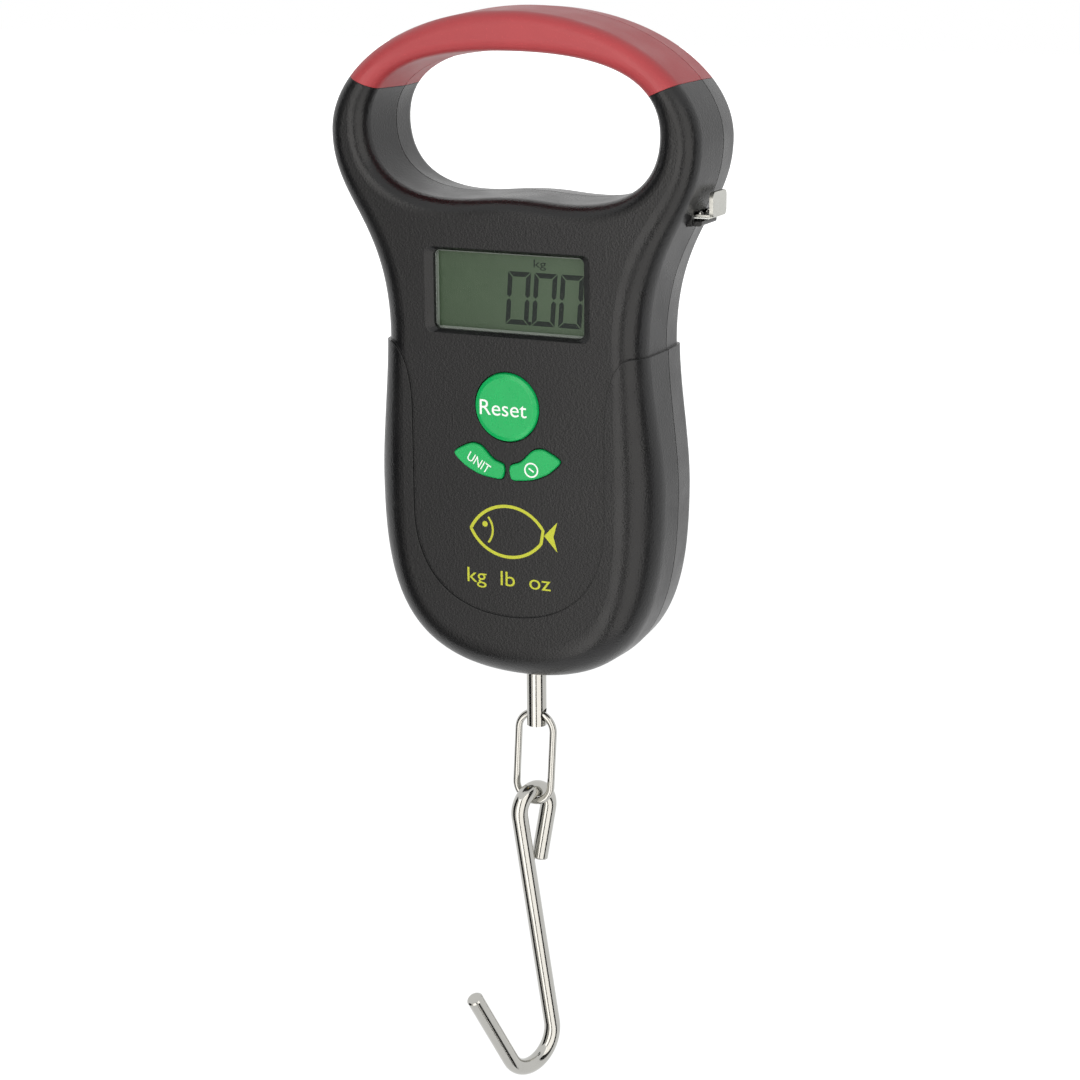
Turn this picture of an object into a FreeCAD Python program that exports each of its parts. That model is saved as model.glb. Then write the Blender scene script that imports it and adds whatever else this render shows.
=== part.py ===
"""Digital fish scale with a built-in tape measure, modelled piece by piece.

The frame: the origin is the inner apex of the handle opening, +X is the viewer's right, -Y is the
front with the display, and +Z is up, so the case, the chain link and the hook hang below the origin.
Names that end in _drop are depths below the origin. All sizes are in millimetres.
"""
import FreeCAD, Part
import math
import os
import Sketcher

V = FreeCAD.Vector

# ---------------------------------------------------------------- driving dimensions
SIZES = {
    # case outline: half widths and the depth below the origin where each is reached
    "bar_height": 10.0, "grip_half": 46.3, "grip_drop": 18.6, "neck_half": 33.0, "neck_drop": 65.1,
    "body_half": 35.8, "body_drop": 99.4, "bottom_drop": 145.8,
    # handle opening
    "gap_half": 35.6, "gap_drop": 16.8, "gap_floor_drop": 32.3, "gap_hump": 0.8,
    # case depths, walls and rounding
    "front_depth": 14.8, "rear_depth": 11.0, "seam_offset": 0.65, "seam_gap": 0.26, "draft": 0.7,
    "wall": 2.2, "core_gap": 0.1, "bar_round": 2.9, "handle_round": 4.1, "neck_round": 6.5,
    "body_round": 9.0, "rear_round": 3.0, "boot_drop": 66.4, "boot_proud": 0.55,
    "front_panel_half": 24.5,
    "front_panel_drop": 129.8, "shallow_depth": 8.0, "deep_inset": 7.5, "deep_top_drop": 40.0,
    "solid_arm_drop": 14.0, "fit_gap": 0.15, "grip_gap": 0.08,
    # display
    "lcd_drop": 53.5, "rim_width": 41.4, "rim_height": 19.9, "lens_width": 37.6, "lens_height": 18.0,
    "lens_sink": 1.9, "lens_corner": 1.3, "lens_bevel": 0.3, "lens_flange": 2.3,
    "lens_flange_thick": 0.8, "glass_thick": 1.2, "zebra_half": 17.0, "zebra_thick": 1.8,
    # circuit board
    "pcb_width": 47.0, "pcb_top_drop": 41.0, "pcb_bottom_drop": 99.0, "pcb_depth": 9.6,
    "pcb_thick": 1.6, "pcb_screw_x": 20.5, "pcb_screw_top": 71.5, "pcb_screw_low": 95.5,
    "chip_radius": 5.5, "chip_drop": 84.0, "chip_tall": 1.3, "crystal_x": 9.0, "crystal_drop": 75.5,
    "crystal_long": 7.0, "crystal_wide": 2.5, "crystal_tall": 1.6, "chip_cap_long": 2.0,
    "chip_cap_wide": 1.2, "chip_cap_tall": 0.9, "buzzer_x": 14.0, "buzzer_drop": 90.5,
    "buzzer_radius": 4.0, "buzzer_tall": 3.2, "buzzer_port": 0.8,
    # keys
    "key_proud": 0.8, "key_travel": 0.75, "key_gap": 0.2, "key_flange": 1.1, "key_flange_thick": 0.8,
    "wing_apart": 0.45, "reset_radius": 8.05, "reset_drop": 79.6, "dome_radius": 2.6,
    "dome_thick": 0.3, "wing_stem_x": 7.2, "wing_stem_below": 12.8, "wing_stem": 1.6, "reset_stem": 2.0,
    # tape measure
    "tape_drop": 35.3, "tape_width": 8.0, "tape_thick": 0.3, "coil_radius": 15.0, "coil_bore": 9.0,
    "drum_flange": 0.8, "drum_bore": 2.1, "axle_gap": 0.05, "hook_reach": 45.0, "hook_plate": 0.9,
    "hook_height": 5.6, "hook_corner": 1.3, "hook_foot": 5.0, "rivet_radius": 0.75, "rivet_y": 2.2,
    "tab_gap": 0.35, "slot_margin": 1.5, "slot_half": 1.9, "mouth_gap": 0.1, "mouth_deep": 5.8,
    "slot_reach": 43.4, "lip_round": 0.6, "bracket_thick": 1.0, "bracket_half": 20.5,
    "bracket_screw_x": 18.0, "bracket_screw_top": 40.6, "bracket_screw_low": 66.0,
    # batteries and their bay
    "cell_radius": 5.15, "cell_length": 43.0, "cell_upper_drop": 78.7, "cell_lower_drop": 89.6,
    "cell_depth": 3.0, "cell_nub": 1.9, "cell_nub_tall": 0.95, "tray_half": 25.2, "tray_wall": 0.8,
    "tray_top_drop": 72.6, "tray_bottom_drop": 95.7, "contact_half": 4.0, "contact_thick": 0.3,
    "leaf_half": 2.6, "leaf_gap": 0.05, "leaf_return": 0.7, "door_half": 23.4, "door_top_drop": 73.8,
    "door_bottom_drop": 94.6, "door_thick": 2.0, "door_gap": 0.3, "door_pin": 0.75,
    # load cell and its anchor
    "loadcell_half": 11.0, "loadcell_deep": 10.0, "loadcell_top_drop": 106.0,
    "loadcell_bottom_drop": 139.0, "arm_height": 7.0, "slot_height": 1.4, "web": 5.8,
    "nut_window": 6.8, "sensing_radius": 3.4, "anchor_half": 30.0, "anchor_thick": 2.0,
    "anchor_deep": 13.0, "anchor_screw_x": 6.0, "anchor_screw_radius": 1.5,
    # load shaft and swivel
    "shaft_radius": 2.4, "shaft_gap": 0.06, "shaft_end_drop": 161.4, "shaft_top_drop": 127.2,
    "eye_drop": 158.7, "eye_radius": 1.6, "bush_radius": 4.0, "bush_flange": 5.4,
    "washer_radius": 4.4, "washer_thick": 0.6, "nut_radius": 4.6, "nut_tall": 3.0,
    # chain link
    "link_wire": 0.9, "link_half": 5.5, "link_top_drop": 157.45, "link_bottom_drop": 182.4,
    "link_tilt": 3.0,
    # hook
    "hook_wire": 2.05, "hook_seat": 0.06, "hook_loop": 5.0, "hook_bend": 7.9, "hook_bend_drop": 244.6,
    "hook_bend_forward": 2.0, "hook_tip": 24.4, "hook_tail": 13.0, "hook_yaw": 20.0,
    "hook_tail_lean": 14.0, "hook_tip_lean": 30.0, "hook_chamfer": 0.35,
    # fasteners
    "case_screw_radius": 1.25, "case_head_radius": 2.6, "case_boss_radius": 3.0,
    "small_screw_radius": 0.8, "small_head_radius": 1.8, "post_radius": 2.4,
}
MIRROR = (1, -1)
KAPPA = 0.5523            # handle length of a cubic that follows a quarter circle of radius 1
KEY_CORNER = 0.86         # how far a wing key's outline is drawn into its corners, 1 being all the way

doc = FreeCAD.newDocument("FishScale")
sheet = doc.addObject("Spreadsheet::Sheet", "Dims")
for line, (alias, number) in enumerate(SIZES.items(), start=1):
    sheet.set(f"A{line}", alias)
    sheet.set(f"B{line}", str(number))
    sheet.setAlias(f"B{line}", alias)
doc.recompute()


def size(alias):
    """The number in the sheet's cell of that alias."""
    return float(getattr(sheet, alias))


nodes = {}                # node name: the object whose shape is written for it


def node(name, thing):
    """Registers an object as the finished shape of a node."""
    thing.Label = name
    nodes[name] = thing
    return thing


# ---------------------------------------------------------------- primitives driven by expressions
def bind(thing, bindings):
    for prop, expression in bindings.items():
        thing.setExpression(prop, expression)
    return thing


def box(name, x, y, z):
    """A box between two expressions on each axis."""
    thing = doc.addObject("Part::Box", name)
    bind(thing, {"Placement.Base.x": x[0], "Placement.Base.y": y[0], "Placement.Base.z": z[0]})
    return bind(thing, {"Length": f"{x[1]} - ({x[0]})", "Width": f"{y[1]} - ({y[0]})",
                        "Height": f"{z[1]} - ({z[0]})"})


TURN = {"x": FreeCAD.Rotation(V(0, 1, 0), 90), "y": FreeCAD.Rotation(V(1, 0, 0), -90),
        "z": FreeCAD.Rotation()}


def cylinder(name, axis, centre, span, radius):
    """A cylinder along an axis; centre holds its three coordinates, its own axis one ignored."""
    thing = doc.addObject("Part::Cylinder", name)
    thing.Placement = FreeCAD.Placement(V(), TURN[axis])
    base = dict(zip("xyz", centre))
    base[axis] = span[0]
    bind(thing, {f"Placement.Base.{letter}": base[letter] for letter in "xyz"})
    return bind(thing, {"Radius": radius, "Height": f"{span[1]} - ({span[0]})"})


def joined(name, *things):
    thing = doc.addObject("Part::MultiFuse", name)
    thing.Shapes = list(things)
    return thing


def cut(name, base, *tools):
    thing = doc.addObject("Part::Cut", name)
    thing.Base = base
    thing.Tool = tools[0] if len(tools) == 1 else joined(name + "_tools", *tools)
    return thing


def group(name, *things):
    """Separate solids that share one node."""
    thing = doc.addObject("Part::Compound", name)
    thing.Links = list(things)
    return thing


def solid(name, shape):
    thing = doc.addObject("Part::Feature", name)
    thing.Shape = shape
    return thing


# ---------------------------------------------------------------- bodies and sketches
ROLE = {"x": "YZ_Plane", "y": "XZ_Plane", "z": "XY_Plane"}


def new_body(name):
    body = doc.addObject("PartDesign::Body", name)
    return node(name, body)


def sketch_on(body, axis, level):
    """A sketch across an axis at a level; its own axes are the other two, in X, Y, Z order."""
    sketch = body.newObject("Sketcher::SketchObject", body.Name + "_sketch")
    plane = next(part for part in body.Origin.OriginFeatures if part.Role == ROLE[axis])
    sketch.AttachmentSupport = (plane, "")
    sketch.MapMode = "FlatFace"
    sign = "-" if axis == "y" else ""
    sketch.setExpression("AttachmentOffset.Base.z", f"{sign}({level})")
    return sketch


def pad(body, axis, span, draw):
    """Adds material between two levels; the XZ plane's own normal is -Y."""
    sketch = sketch_on(body, axis, span[1] if axis == "y" else span[0])
    draw(sketch)
    feature = body.newObject("PartDesign::Pad", body.Name + "_pad")
    feature.Profile = sketch
    feature.setExpression("Length", f"{span[1]} - ({span[0]})")
    return feature


def pocket(body, axis, span, draw):
    """Removes material between two levels; a pocket runs against its sketch's normal."""
    sketch = sketch_on(body, axis, span[0] if axis == "y" else span[1])
    draw(sketch)
    feature = body.newObject("PartDesign::Pocket", body.Name + "_pocket")
    feature.Profile = sketch
    feature.setExpression("Length", f"{span[1]} - ({span[0]})")
    return feature


def fix_point(sketch, curve, end, across, up):
    """Ties a point to two expressions, measured from the sketch's origin."""
    first = sketch.addConstraint(Sketcher.Constraint("DistanceX", -1, 1, curve, end, 1.0))
    sketch.setExpression(f"Constraints[{first}]", across)
    second = sketch.addConstraint(Sketcher.Constraint("DistanceY", -1, 1, curve, end, 1.0))
    sketch.setExpression(f"Constraints[{second}]", up)


def draw_circle(sketch, across, up, radius):
    curve = sketch.addGeometry(Part.Circle(V(1, 1, 0), V(0, 0, 1), 1))
    fix_point(sketch, curve, 3, across, up)
    last = sketch.addConstraint(Sketcher.Constraint("Radius", curve, 1.0))
    sketch.setExpression(f"Constraints[{last}]", radius)


def draw_rectangle(sketch, across, up):
    corners = [V(0, 0, 0), V(1, 0, 0), V(1, 1, 0), V(0, 1, 0)]
    first = sketch.GeometryCount
    for start, end in zip(corners, corners[1:] + corners[:1]):
        sketch.addGeometry(Part.LineSegment(start, end))
    for side in range(4):
        sketch.addConstraint(Sketcher.Constraint("Coincident", first + side, 2,
                                                 first + (side + 1) % 4, 1))
        kind = "Vertical" if side % 2 else "Horizontal"
        sketch.addConstraint(Sketcher.Constraint(kind, first + side))
    fix_point(sketch, first, 1, across[0], up[0])
    fix_point(sketch, first + 2, 1, across[1], up[1])


def draw_loop(sketch, points):
    """A closed outline of straight lines through points whose coordinates are expressions."""
    count = len(points)
    first = sketch.GeometryCount
    for step in range(count):
        turn = 2 * math.pi * step / count
        after = 2 * math.pi * (step + 1) / count
        sketch.addGeometry(Part.LineSegment(V(math.cos(turn), math.sin(turn), 0),
                                            V(math.cos(after), math.sin(after), 0)))
    for step in range(count):
        sketch.addConstraint(Sketcher.Constraint("Coincident", first + step, 2,
                                                 first + (step + 1) % count, 1))
    for step, (across, up) in enumerate(points):
        fix_point(sketch, first + step, 1, across, up)


# ---------------------------------------------------------------- outlines of the case
def case_outline(inset):
    """Poles (x, z) of the four cubics down the right half of the case, moved inwards by inset."""
    ease = KAPPA * inset
    top = size("bar_height") - inset
    grip, grip_z = size("grip_half") - inset, -size("grip_drop")
    neck, neck_z = size("neck_half") - inset, -size("neck_drop")
    body, body_z = size("body_half") - inset, -size("body_drop")
    bottom = inset - size("bottom_drop")
    crown = size("grip_half") * 0.55 - ease
    shoulder = (size("bar_height") + size("grip_drop")) * 0.54 - ease
    fall = size("neck_drop") - size("grip_drop")
    flank = size("body_drop") - size("neck_drop")
    chin = size("bottom_drop") - size("body_drop")
    return [
        [(0, top), (crown, top), (grip, grip_z + shoulder), (grip, grip_z)],
        [(grip, grip_z), (grip, grip_z - 0.36 * fall + ease), (neck, neck_z + 0.555 * fall + ease),
         (neck, neck_z)],
        [(neck, neck_z), (neck, neck_z - 0.315 * flank), (body, body_z + 0.31 * flank),
         (body, body_z)],
        [(body, body_z), (body, body_z - 0.53 * chin + ease),
         (0.9 * size("body_half") - ease, bottom), (0, bottom)],
    ]


def gap_outline(inset):
    """Poles of the three cubics round the right half of the handle opening, widened by inset."""
    ease = KAPPA * inset
    wide, wide_z = size("gap_half") + inset, -size("gap_drop")
    floor = -size("gap_floor_drop") - inset
    hump = floor + size("gap_hump")
    foot = 0.42 * size("gap_half")
    lower = size("gap_floor_drop") - size("gap_drop")
    return [
        [(0, inset), (0.56 * size("gap_half") + ease, inset),
         (wide, wide_z + 0.79 * size("gap_drop") + ease), (wide, wide_z)],
        [(wide, wide_z), (wide, wide_z - 0.72 * lower - ease),
         (foot + 0.33 * size("gap_half") + ease, floor), (foot, floor)],
        [(foot, floor), (0.6 * foot, floor), (0.45 * foot, hump), (0, hump)],
    ]


def both_halves(poles):
    """The right half's cubics followed by their mirror images, as one closed round."""
    left = [[(-x, z) for x, z in reversed(cubic)] for cubic in reversed(poles)]
    return poles + left


def bezier_edge(points):
    curve = Part.BezierCurve()
    curve.setPoles(points)
    return curve.toBSpline().toShape()


def flat_wire(poles, level):
    return Part.Wire([bezier_edge([V(x, level, z) for x, z in cubic]) for cubic in both_halves(poles)])


def ring_prism(outer, inner, low, high):
    """A straight prism along Y between two outlines."""
    rounds = Part.makeCompound([flat_wire(outer, low), flat_wire(inner, low)])
    face = Part.makeFace(rounds, "Part::FaceMakerBullseye")
    return face.extrude(V(0, high - low, 0))


def patch(rows):
    """A surface patch from rows of poles, each row one cubic or one straight line."""
    across, along = len(rows), len(rows[0])
    surface = Part.BSplineSurface()
    surface.buildFromPolesMultsKnots(rows, [across, across], [along, along], [0, 1], [0, 1],
                                     False, False, across - 1, along - 1)
    return surface.toShape()


def wall_and_round(outline, radii, proud, level, face_level):
    """Faces of a drafted wall and its rounded edge, and the wire where they meet the flat face.

    outline(inset) gives poles that move in straight lines as the inset grows, so each pole's track
    is enough to place the wall's foot, the start of the rounding and its end.
    """
    height = abs(face_level - level)
    forward = math.copysign(1, face_level - level)
    lean = size("draft") / height
    start, moved = both_halves(outline(-proud)), both_halves(outline(1 - proud))
    rounds = both_halves([[(r, 0) for r in row] for row in radii])
    faces, rim = [], []
    for cubic, target, radius_row in zip(start, moved, rounds):
        wall_rows, round_rows = [[], []], [[], [], [], []]
        for (x, z), (x1, z1), (radius, _) in zip(cubic, target, radius_row):
            radius = abs(radius)

            def point(inset, rise):
                return V(x + (x1 - x) * inset, level + forward * rise, z + (z1 - z) * inset)

            foot = lean * (height - radius)
            wall_rows[0].append(point(0, 0))
            wall_rows[1].append(point(foot, height - radius))
            round_rows[0].append(point(foot, height - radius))
            round_rows[1].append(point(foot + lean * KAPPA * radius, height - radius * (1 - KAPPA)))
            round_rows[2].append(point(foot + radius * (1 - KAPPA), height))
            round_rows[3].append(point(foot + radius, height))
        faces += [patch(wall_rows), patch(round_rows)]
        rim.append(bezier_edge(round_rows[3]))
    return faces, Part.Wire(rim)


def rounded_solid(outline, radii, proud, level, face_level):
    """A closed solid inside one outline, from the seam to the flat face."""
    faces, rim = wall_and_round(outline, radii, proud, level, face_level)
    shell = Part.makeShell(faces + [Part.Face(rim), Part.Face(flat_wire(outline(-proud), level))])
    shell.sewShape()
    closed = Part.Solid(shell)
    if closed.Volume < 0:
        closed.reverse()
    return closed


def shell_blank(level, face_level, rounding, proud=0.0):
    """One solid half of the case, from the seam to its flat face, with the handle opening."""
    bar, handle, neck, body = rounding
    case_radii = [[bar, bar, handle, handle], [handle, handle, neck, neck],
                  [neck, neck, body, body], [body] * 4]
    gap_radii = [[bar, bar, handle, handle], [handle] * 4, [handle] * 4]
    outer = rounded_solid(case_outline, case_radii, proud, level, face_level)
    opening = rounded_solid(gap_outline, gap_radii, proud, level, face_level)
    return outer.cut(opening)


def slab(x, y, z):
    """A box between two numbers on each axis."""
    return Part.makeBox(x[1] - x[0], y[1] - y[0], z[1] - z[0], V(x[0], y[0], z[0]))


def prism_y(edges, low, high):
    """Extrudes a closed outline of edges, drawn at y = 0, between two levels."""
    face = Part.Face(Part.Wire(edges))
    face.translate(V(0, low, 0))
    return face.extrude(V(0, high - low, 0))


def line_edges(points):
    corners = [V(x, 0, z) for x, z in points]
    return [Part.LineSegment(a, b).toShape() for a, b in zip(corners, corners[1:])]


FAR = 40.0                # further than any face of the case lies from the seam
SIDE = 80.0               # further than any side of the case


def grip_region(clearance):
    """The space above the slanted joints where the coloured grip covers the bar."""
    outer, inner = size("grip_half"), size("gap_half")
    rise = size("bar_height") * 0.45
    slope = rise / (outer - inner)
    joint = -0.46 * size("gap_drop") - clearance
    low_x, high_x = 0.5 * inner, SIDE
    points = [(low_x, joint + slope * (low_x - inner)), (high_x, joint + slope * (high_x - inner)),
              (high_x, FAR)]
    points += [(-x, z) for x, z in reversed(points)]
    return prism_y(line_edges(points + points[:1]), -FAR, FAR)


def boot_region():
    """The lower case, round the raised panel of the front face, where the wall is proud."""
    panel, drop = size("front_panel_half"), size("front_panel_drop")
    top = -size("boot_drop")
    shoulder_x, shoulder_z = panel + 6.5, top - 15.5
    straight_z = -0.81 * drop
    curl = [[(shoulder_x, top), (panel + 2.0, top), (panel, top - 8.0), (panel, shoulder_z)],
            [(panel, straight_z), (panel, straight_z - 0.66 * (drop + straight_z)),
             (0.6 * panel, -drop), (0, -drop)]]
    right = [bezier_edge([V(x, 0, z) for x, z in curl[0]]),
             Part.LineSegment(V(panel, 0, shoulder_z), V(panel, 0, straight_z)).toShape(),
             bezier_edge([V(x, 0, z) for x, z in curl[1]])]
    left = [edge.mirror(V(), V(1, 0, 0)) for edge in right]
    frame = line_edges([(shoulder_x, top), (SIDE, top), (SIDE, -2 * drop), (-SIDE, -2 * drop),
                        (-SIDE, top), (-shoulder_x, top)])
    ordered = Part.__sortEdges__(right + left + frame)
    return prism_y(ordered, -FAR, FAR)


SEAM = size("seam_offset")
FRONT_SEAM = SEAM - size("seam_gap") / 2
REAR_SEAM = SEAM + size("seam_gap") / 2
FRONT_FACE = -size("front_depth")
REAR_FACE = size("rear_depth")
FRONT_INSIDE = FRONT_FACE + size("wall")
REAR_INSIDE = REAR_FACE - size("wall")
FRONT_ROUNDING = tuple(size(place + "_round") for place in ("bar", "handle", "neck", "body"))
REAR_ROUNDING = (size("rear_round"),) * 4


def cavity(low, high, inset):
    """The hollow behind the walls, closed off where the arms meet the grip."""
    ring = ring_prism(case_outline(inset), gap_outline(inset), low, high)
    return ring.common(slab((-SIDE, SIDE), (-FAR, FAR), (-2 * SIDE, -size("solid_arm_drop"))))


def half_case(seam, face, rounding):
    """One black half: its blank with the proud boot, slimmed to a core bar under the grip."""
    blank = shell_blank(seam, face, rounding)
    proud = size("boot_proud")
    boot = shell_blank(seam, face + math.copysign(proud, face), rounding, proud)
    half = blank.fuse(boot.common(boot_region())).removeSplitter()
    half = half.cut(grip_region(size("grip_gap")))
    inset = size("wall") + size("core_gap")
    depth = face - math.copysign(inset, face)
    core = ring_prism(case_outline(inset), gap_outline(inset), min(seam, depth), max(seam, depth))
    bar = core.common(slab((-SIDE, SIDE), (-FAR, FAR), (-size("solid_arm_drop"), SIDE)))
    return half.fuse(bar).removeSplitter()


def grip_half_shape(seam, face, rounding):
    """One coloured half: a channel that wraps the core bar."""
    inset = size("wall")
    depth = face - math.copysign(inset, face)
    skin = shell_blank(seam, face, rounding).common(grip_region(0))
    beyond = seam - math.copysign(1, face)
    channel = ring_prism(case_outline(inset), gap_outline(inset), min(beyond, depth),
                         max(beyond, depth))
    return skin.cut(channel)


def post(x, z, span, radius):
    """A round boss or hole along Y."""
    return Part.makeCylinder(radius, span[1] - span[0], V(x, span[0], z), V(0, 1, 0))


CASE_SCREWS = [(size("gap_half") + 0.5 * (size("grip_half") - size("gap_half")), -size("grip_drop")),
               (size("neck_half") - 5.5, -size("neck_drop") - 3.9),
               (0.6 * size("body_half"), -size("bottom_drop") + 18.8)]
CASE_SCREWS = [(side * x, z) for x, z in CASE_SCREWS for side in MIRROR]
PCB_SCREWS = [(side * size("pcb_screw_x"), -drop) for side in MIRROR
              for drop in (size("pcb_screw_top"), size("pcb_screw_low"))]
BRACKET_SCREWS = [(side * size("bracket_screw_x"), -drop) for side in MIRROR
                  for drop in (size("bracket_screw_top"), size("bracket_screw_low"))]
PCB_FRONT = -size("pcb_depth")
PCB_REAR = PCB_FRONT + size("pcb_thick")
DRUM_Z = -(size("tape_drop") + size("coil_radius") + 0.3)
BRACKET_REAR = -(size("tape_width") / 2 + size("drum_flange") + 0.5)


def key_outline(grow):
    """The wing-shaped key on the right, widened all round by grow; the left one mirrors it."""
    middle = -size("reset_drop")
    inner = 0.6 - min(grow, size("wing_apart"))
    points = [(inner, -15.0), (inner + 0.3, 0.7 * grow - 13.4), (3.6 - 0.3 * grow, grow - 12.6),
              (6.6 - 0.4 * grow, grow - 9.4), (9.2 + 0.2 * grow, grow - 8.9),
              (14.2 + grow, 0.3 * grow - 11.5), (10.7 + 0.6 * grow, -14.7 - 0.9 * grow),
              (6.8, -16.5 - 1.1 * grow), (1.2 - 0.5 * grow, -17.2 - grow)]
    return [(x, middle + z) for x, z in points]


def key_wire(grow, side, level):
    """The key's outline as one smooth closed curve with softened corners."""
    corners = [V(side * x, level, z) for x, z in key_outline(grow)]
    edges = []
    count = len(corners)
    for step in range(count):
        before, here, after = corners[step - 1], corners[step], corners[(step + 1) % count]
        start, end = (before + here) * 0.5, (here + after) * 0.5
        pull, keep = here * KEY_CORNER, 1 - KEY_CORNER
        edges.append(bezier_edge([start, pull + start * keep, pull + end * keep, end]))
    return Part.Wire(edges)


def key_prism(grow, side, low, high):
    return Part.Face(key_wire(grow, side, low)).extrude(V(0, high - low, 0))


# ---------------------------------------------------------------- case halves and grips
def add_front_case():
    shape = half_case(FRONT_SEAM, FRONT_FACE, FRONT_ROUNDING)
    shape = shape.cut(cavity(-size("shallow_depth"), FAR, size("wall")))
    deep = ring_prism(case_outline(size("deep_inset")), gap_outline(size("deep_inset")),
                      FRONT_INSIDE, 0)
    deep = deep.common(slab((-SIDE, SIDE), (-FAR, 0), (-2 * SIDE, -size("deep_top_drop"))))
    shape = shape.cut(deep)
    bosses = [post(x, z, (-size("shallow_depth") - 2, FRONT_SEAM), size("case_boss_radius"))
              for x, z in CASE_SCREWS]
    bosses += [post(x, z, (FRONT_INSIDE - 1, PCB_FRONT), size("post_radius")) for x, z in PCB_SCREWS]
    shape = shape.multiFuse(bosses + anchor_seats(FRONT_SEAM, -size("shallow_depth") - 1))
    holes = [post(x, z, (-size("shallow_depth"), FAR), size("case_screw_radius"))
             for x, z in CASE_SCREWS]
    holes += [post(x, z, (FRONT_INSIDE, 0), size("small_screw_radius")) for x, z in PCB_SCREWS]
    holes += window_cuts() + key_holes() + [tape_slot(), shaft_hole()]
    shape = shape.cut(Part.makeCompound(holes))
    return node("front_case", solid("FrontCase", largest(shape)))


def largest(shape):
    """Drops slivers that a cut may leave, keeping the one real solid."""
    return max(shape.Solids, key=lambda part: part.Volume)


def window_cuts():
    """The display window: a sloping rim down to a straight opening for the lens."""
    z = -size("lcd_drop")
    lens = (size("lens_width") / 2 + size("fit_gap"), size("lens_height") / 2 + size("fit_gap"))
    rim = (size("rim_width") / 2, size("rim_height") / 2)
    sill = FRONT_FACE + 0.62 * size("lens_sink")
    corner = size("lens_corner") + size("fit_gap")
    loops = [rounded_rectangle(rim, z, FRONT_FACE, corner + 0.5), rounded_rectangle(lens, z, sill, corner)]
    slope = Part.makeLoft(loops, True, True)
    opening = Part.Face(rounded_rectangle(lens, z, FRONT_FACE - 1, corner)).extrude(V(0, 6, 0))
    return [slope, opening]


def rounded_rectangle(half, z, level, radius):
    """A closed wire across Y, centred on x = 0."""
    wide, tall = half
    edges = []
    corners = [(1, 1), (-1, 1), (-1, -1), (1, -1)]
    ends = []
    for step, (sx, sz) in enumerate(corners):
        cx, cz = sx * (wide - radius), z + sz * (tall - radius)
        turn = math.pi / 2 * step
        arc = [V(cx + radius * math.cos(turn + a), level, cz + radius * math.sin(turn + a))
               for a in (0, math.pi / 4, math.pi / 2)]
        edges.append(Part.Arc(*arc).toShape())
        ends.append((arc[0], arc[2]))
    for step in range(4):
        edges.append(Part.LineSegment(ends[step][1], ends[(step + 1) % 4][0]).toShape())
    return Part.Wire(Part.__sortEdges__(edges))


def key_holes():
    gap = size("key_gap")
    holes = [post(0, -size("reset_drop"), (FRONT_FACE - 1, FRONT_INSIDE + 1),
                  size("reset_radius") + gap)]
    holes += [key_prism(gap, side, FRONT_FACE - 1, FRONT_INSIDE + 1) for side in MIRROR]
    return holes


def tape_slot():
    """The hole in the right-hand wall for the tape's mouthpiece, and a shallow seat for the tab."""
    half = size("tape_width") / 2
    wide, tall = half + size("slot_margin"), size("slot_half")
    tab, gap = half + 0.2, size("tab_gap")
    z = -size("tape_drop")
    hole = slab((size("gap_half") - 2, SIDE), (-wide, wide), (z - tall, z + tall * 0.8))
    seat = slab((size("hook_reach") - gap, SIDE), (-tab - gap, tab + gap),
                (z, z + size("hook_height") + 2 * gap))
    return hole.fuse(seat)


def shaft_hole():
    bottom = -size("bottom_drop")
    return Part.makeCylinder(size("bush_radius") + 0.05, 12, V(0, 0, bottom - 4), V(0, 0, 1))


def anchor_seats(high, low):
    """Ribs on the side walls, above and below each end of the anchor plate."""
    gap, thick = size("core_gap"), 2.4
    plate_low = -size("loadcell_top_drop")
    plate_high = plate_low + size("anchor_thick")
    inner, outer = size("anchor_half") - 3.0, size("body_half") - size("wall") + 0.4
    low, high = min(low, high), max(low, high)
    seats = []
    for side in MIRROR:
        x = sorted((side * inner, side * outer))
        seats.append(slab(x, (low, high), (plate_low - gap - thick, plate_low - gap)))
        seats.append(slab(x, (low, high), (plate_high + gap, plate_high + gap + thick)))
    return seats


def door_opening(level_low, level_high, grow=0.0):
    half = size("door_half") + grow
    return slab((-half, half), (level_low, level_high),
                (-size("door_bottom_drop") - grow, -size("door_top_drop") + grow))


DOOR_AXIS_Y = size("rear_depth") - 0.55 * size("door_thick")
DOOR_AXIS_Z = -(size("door_bottom_drop") - 0.55 * size("door_thick"))


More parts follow.
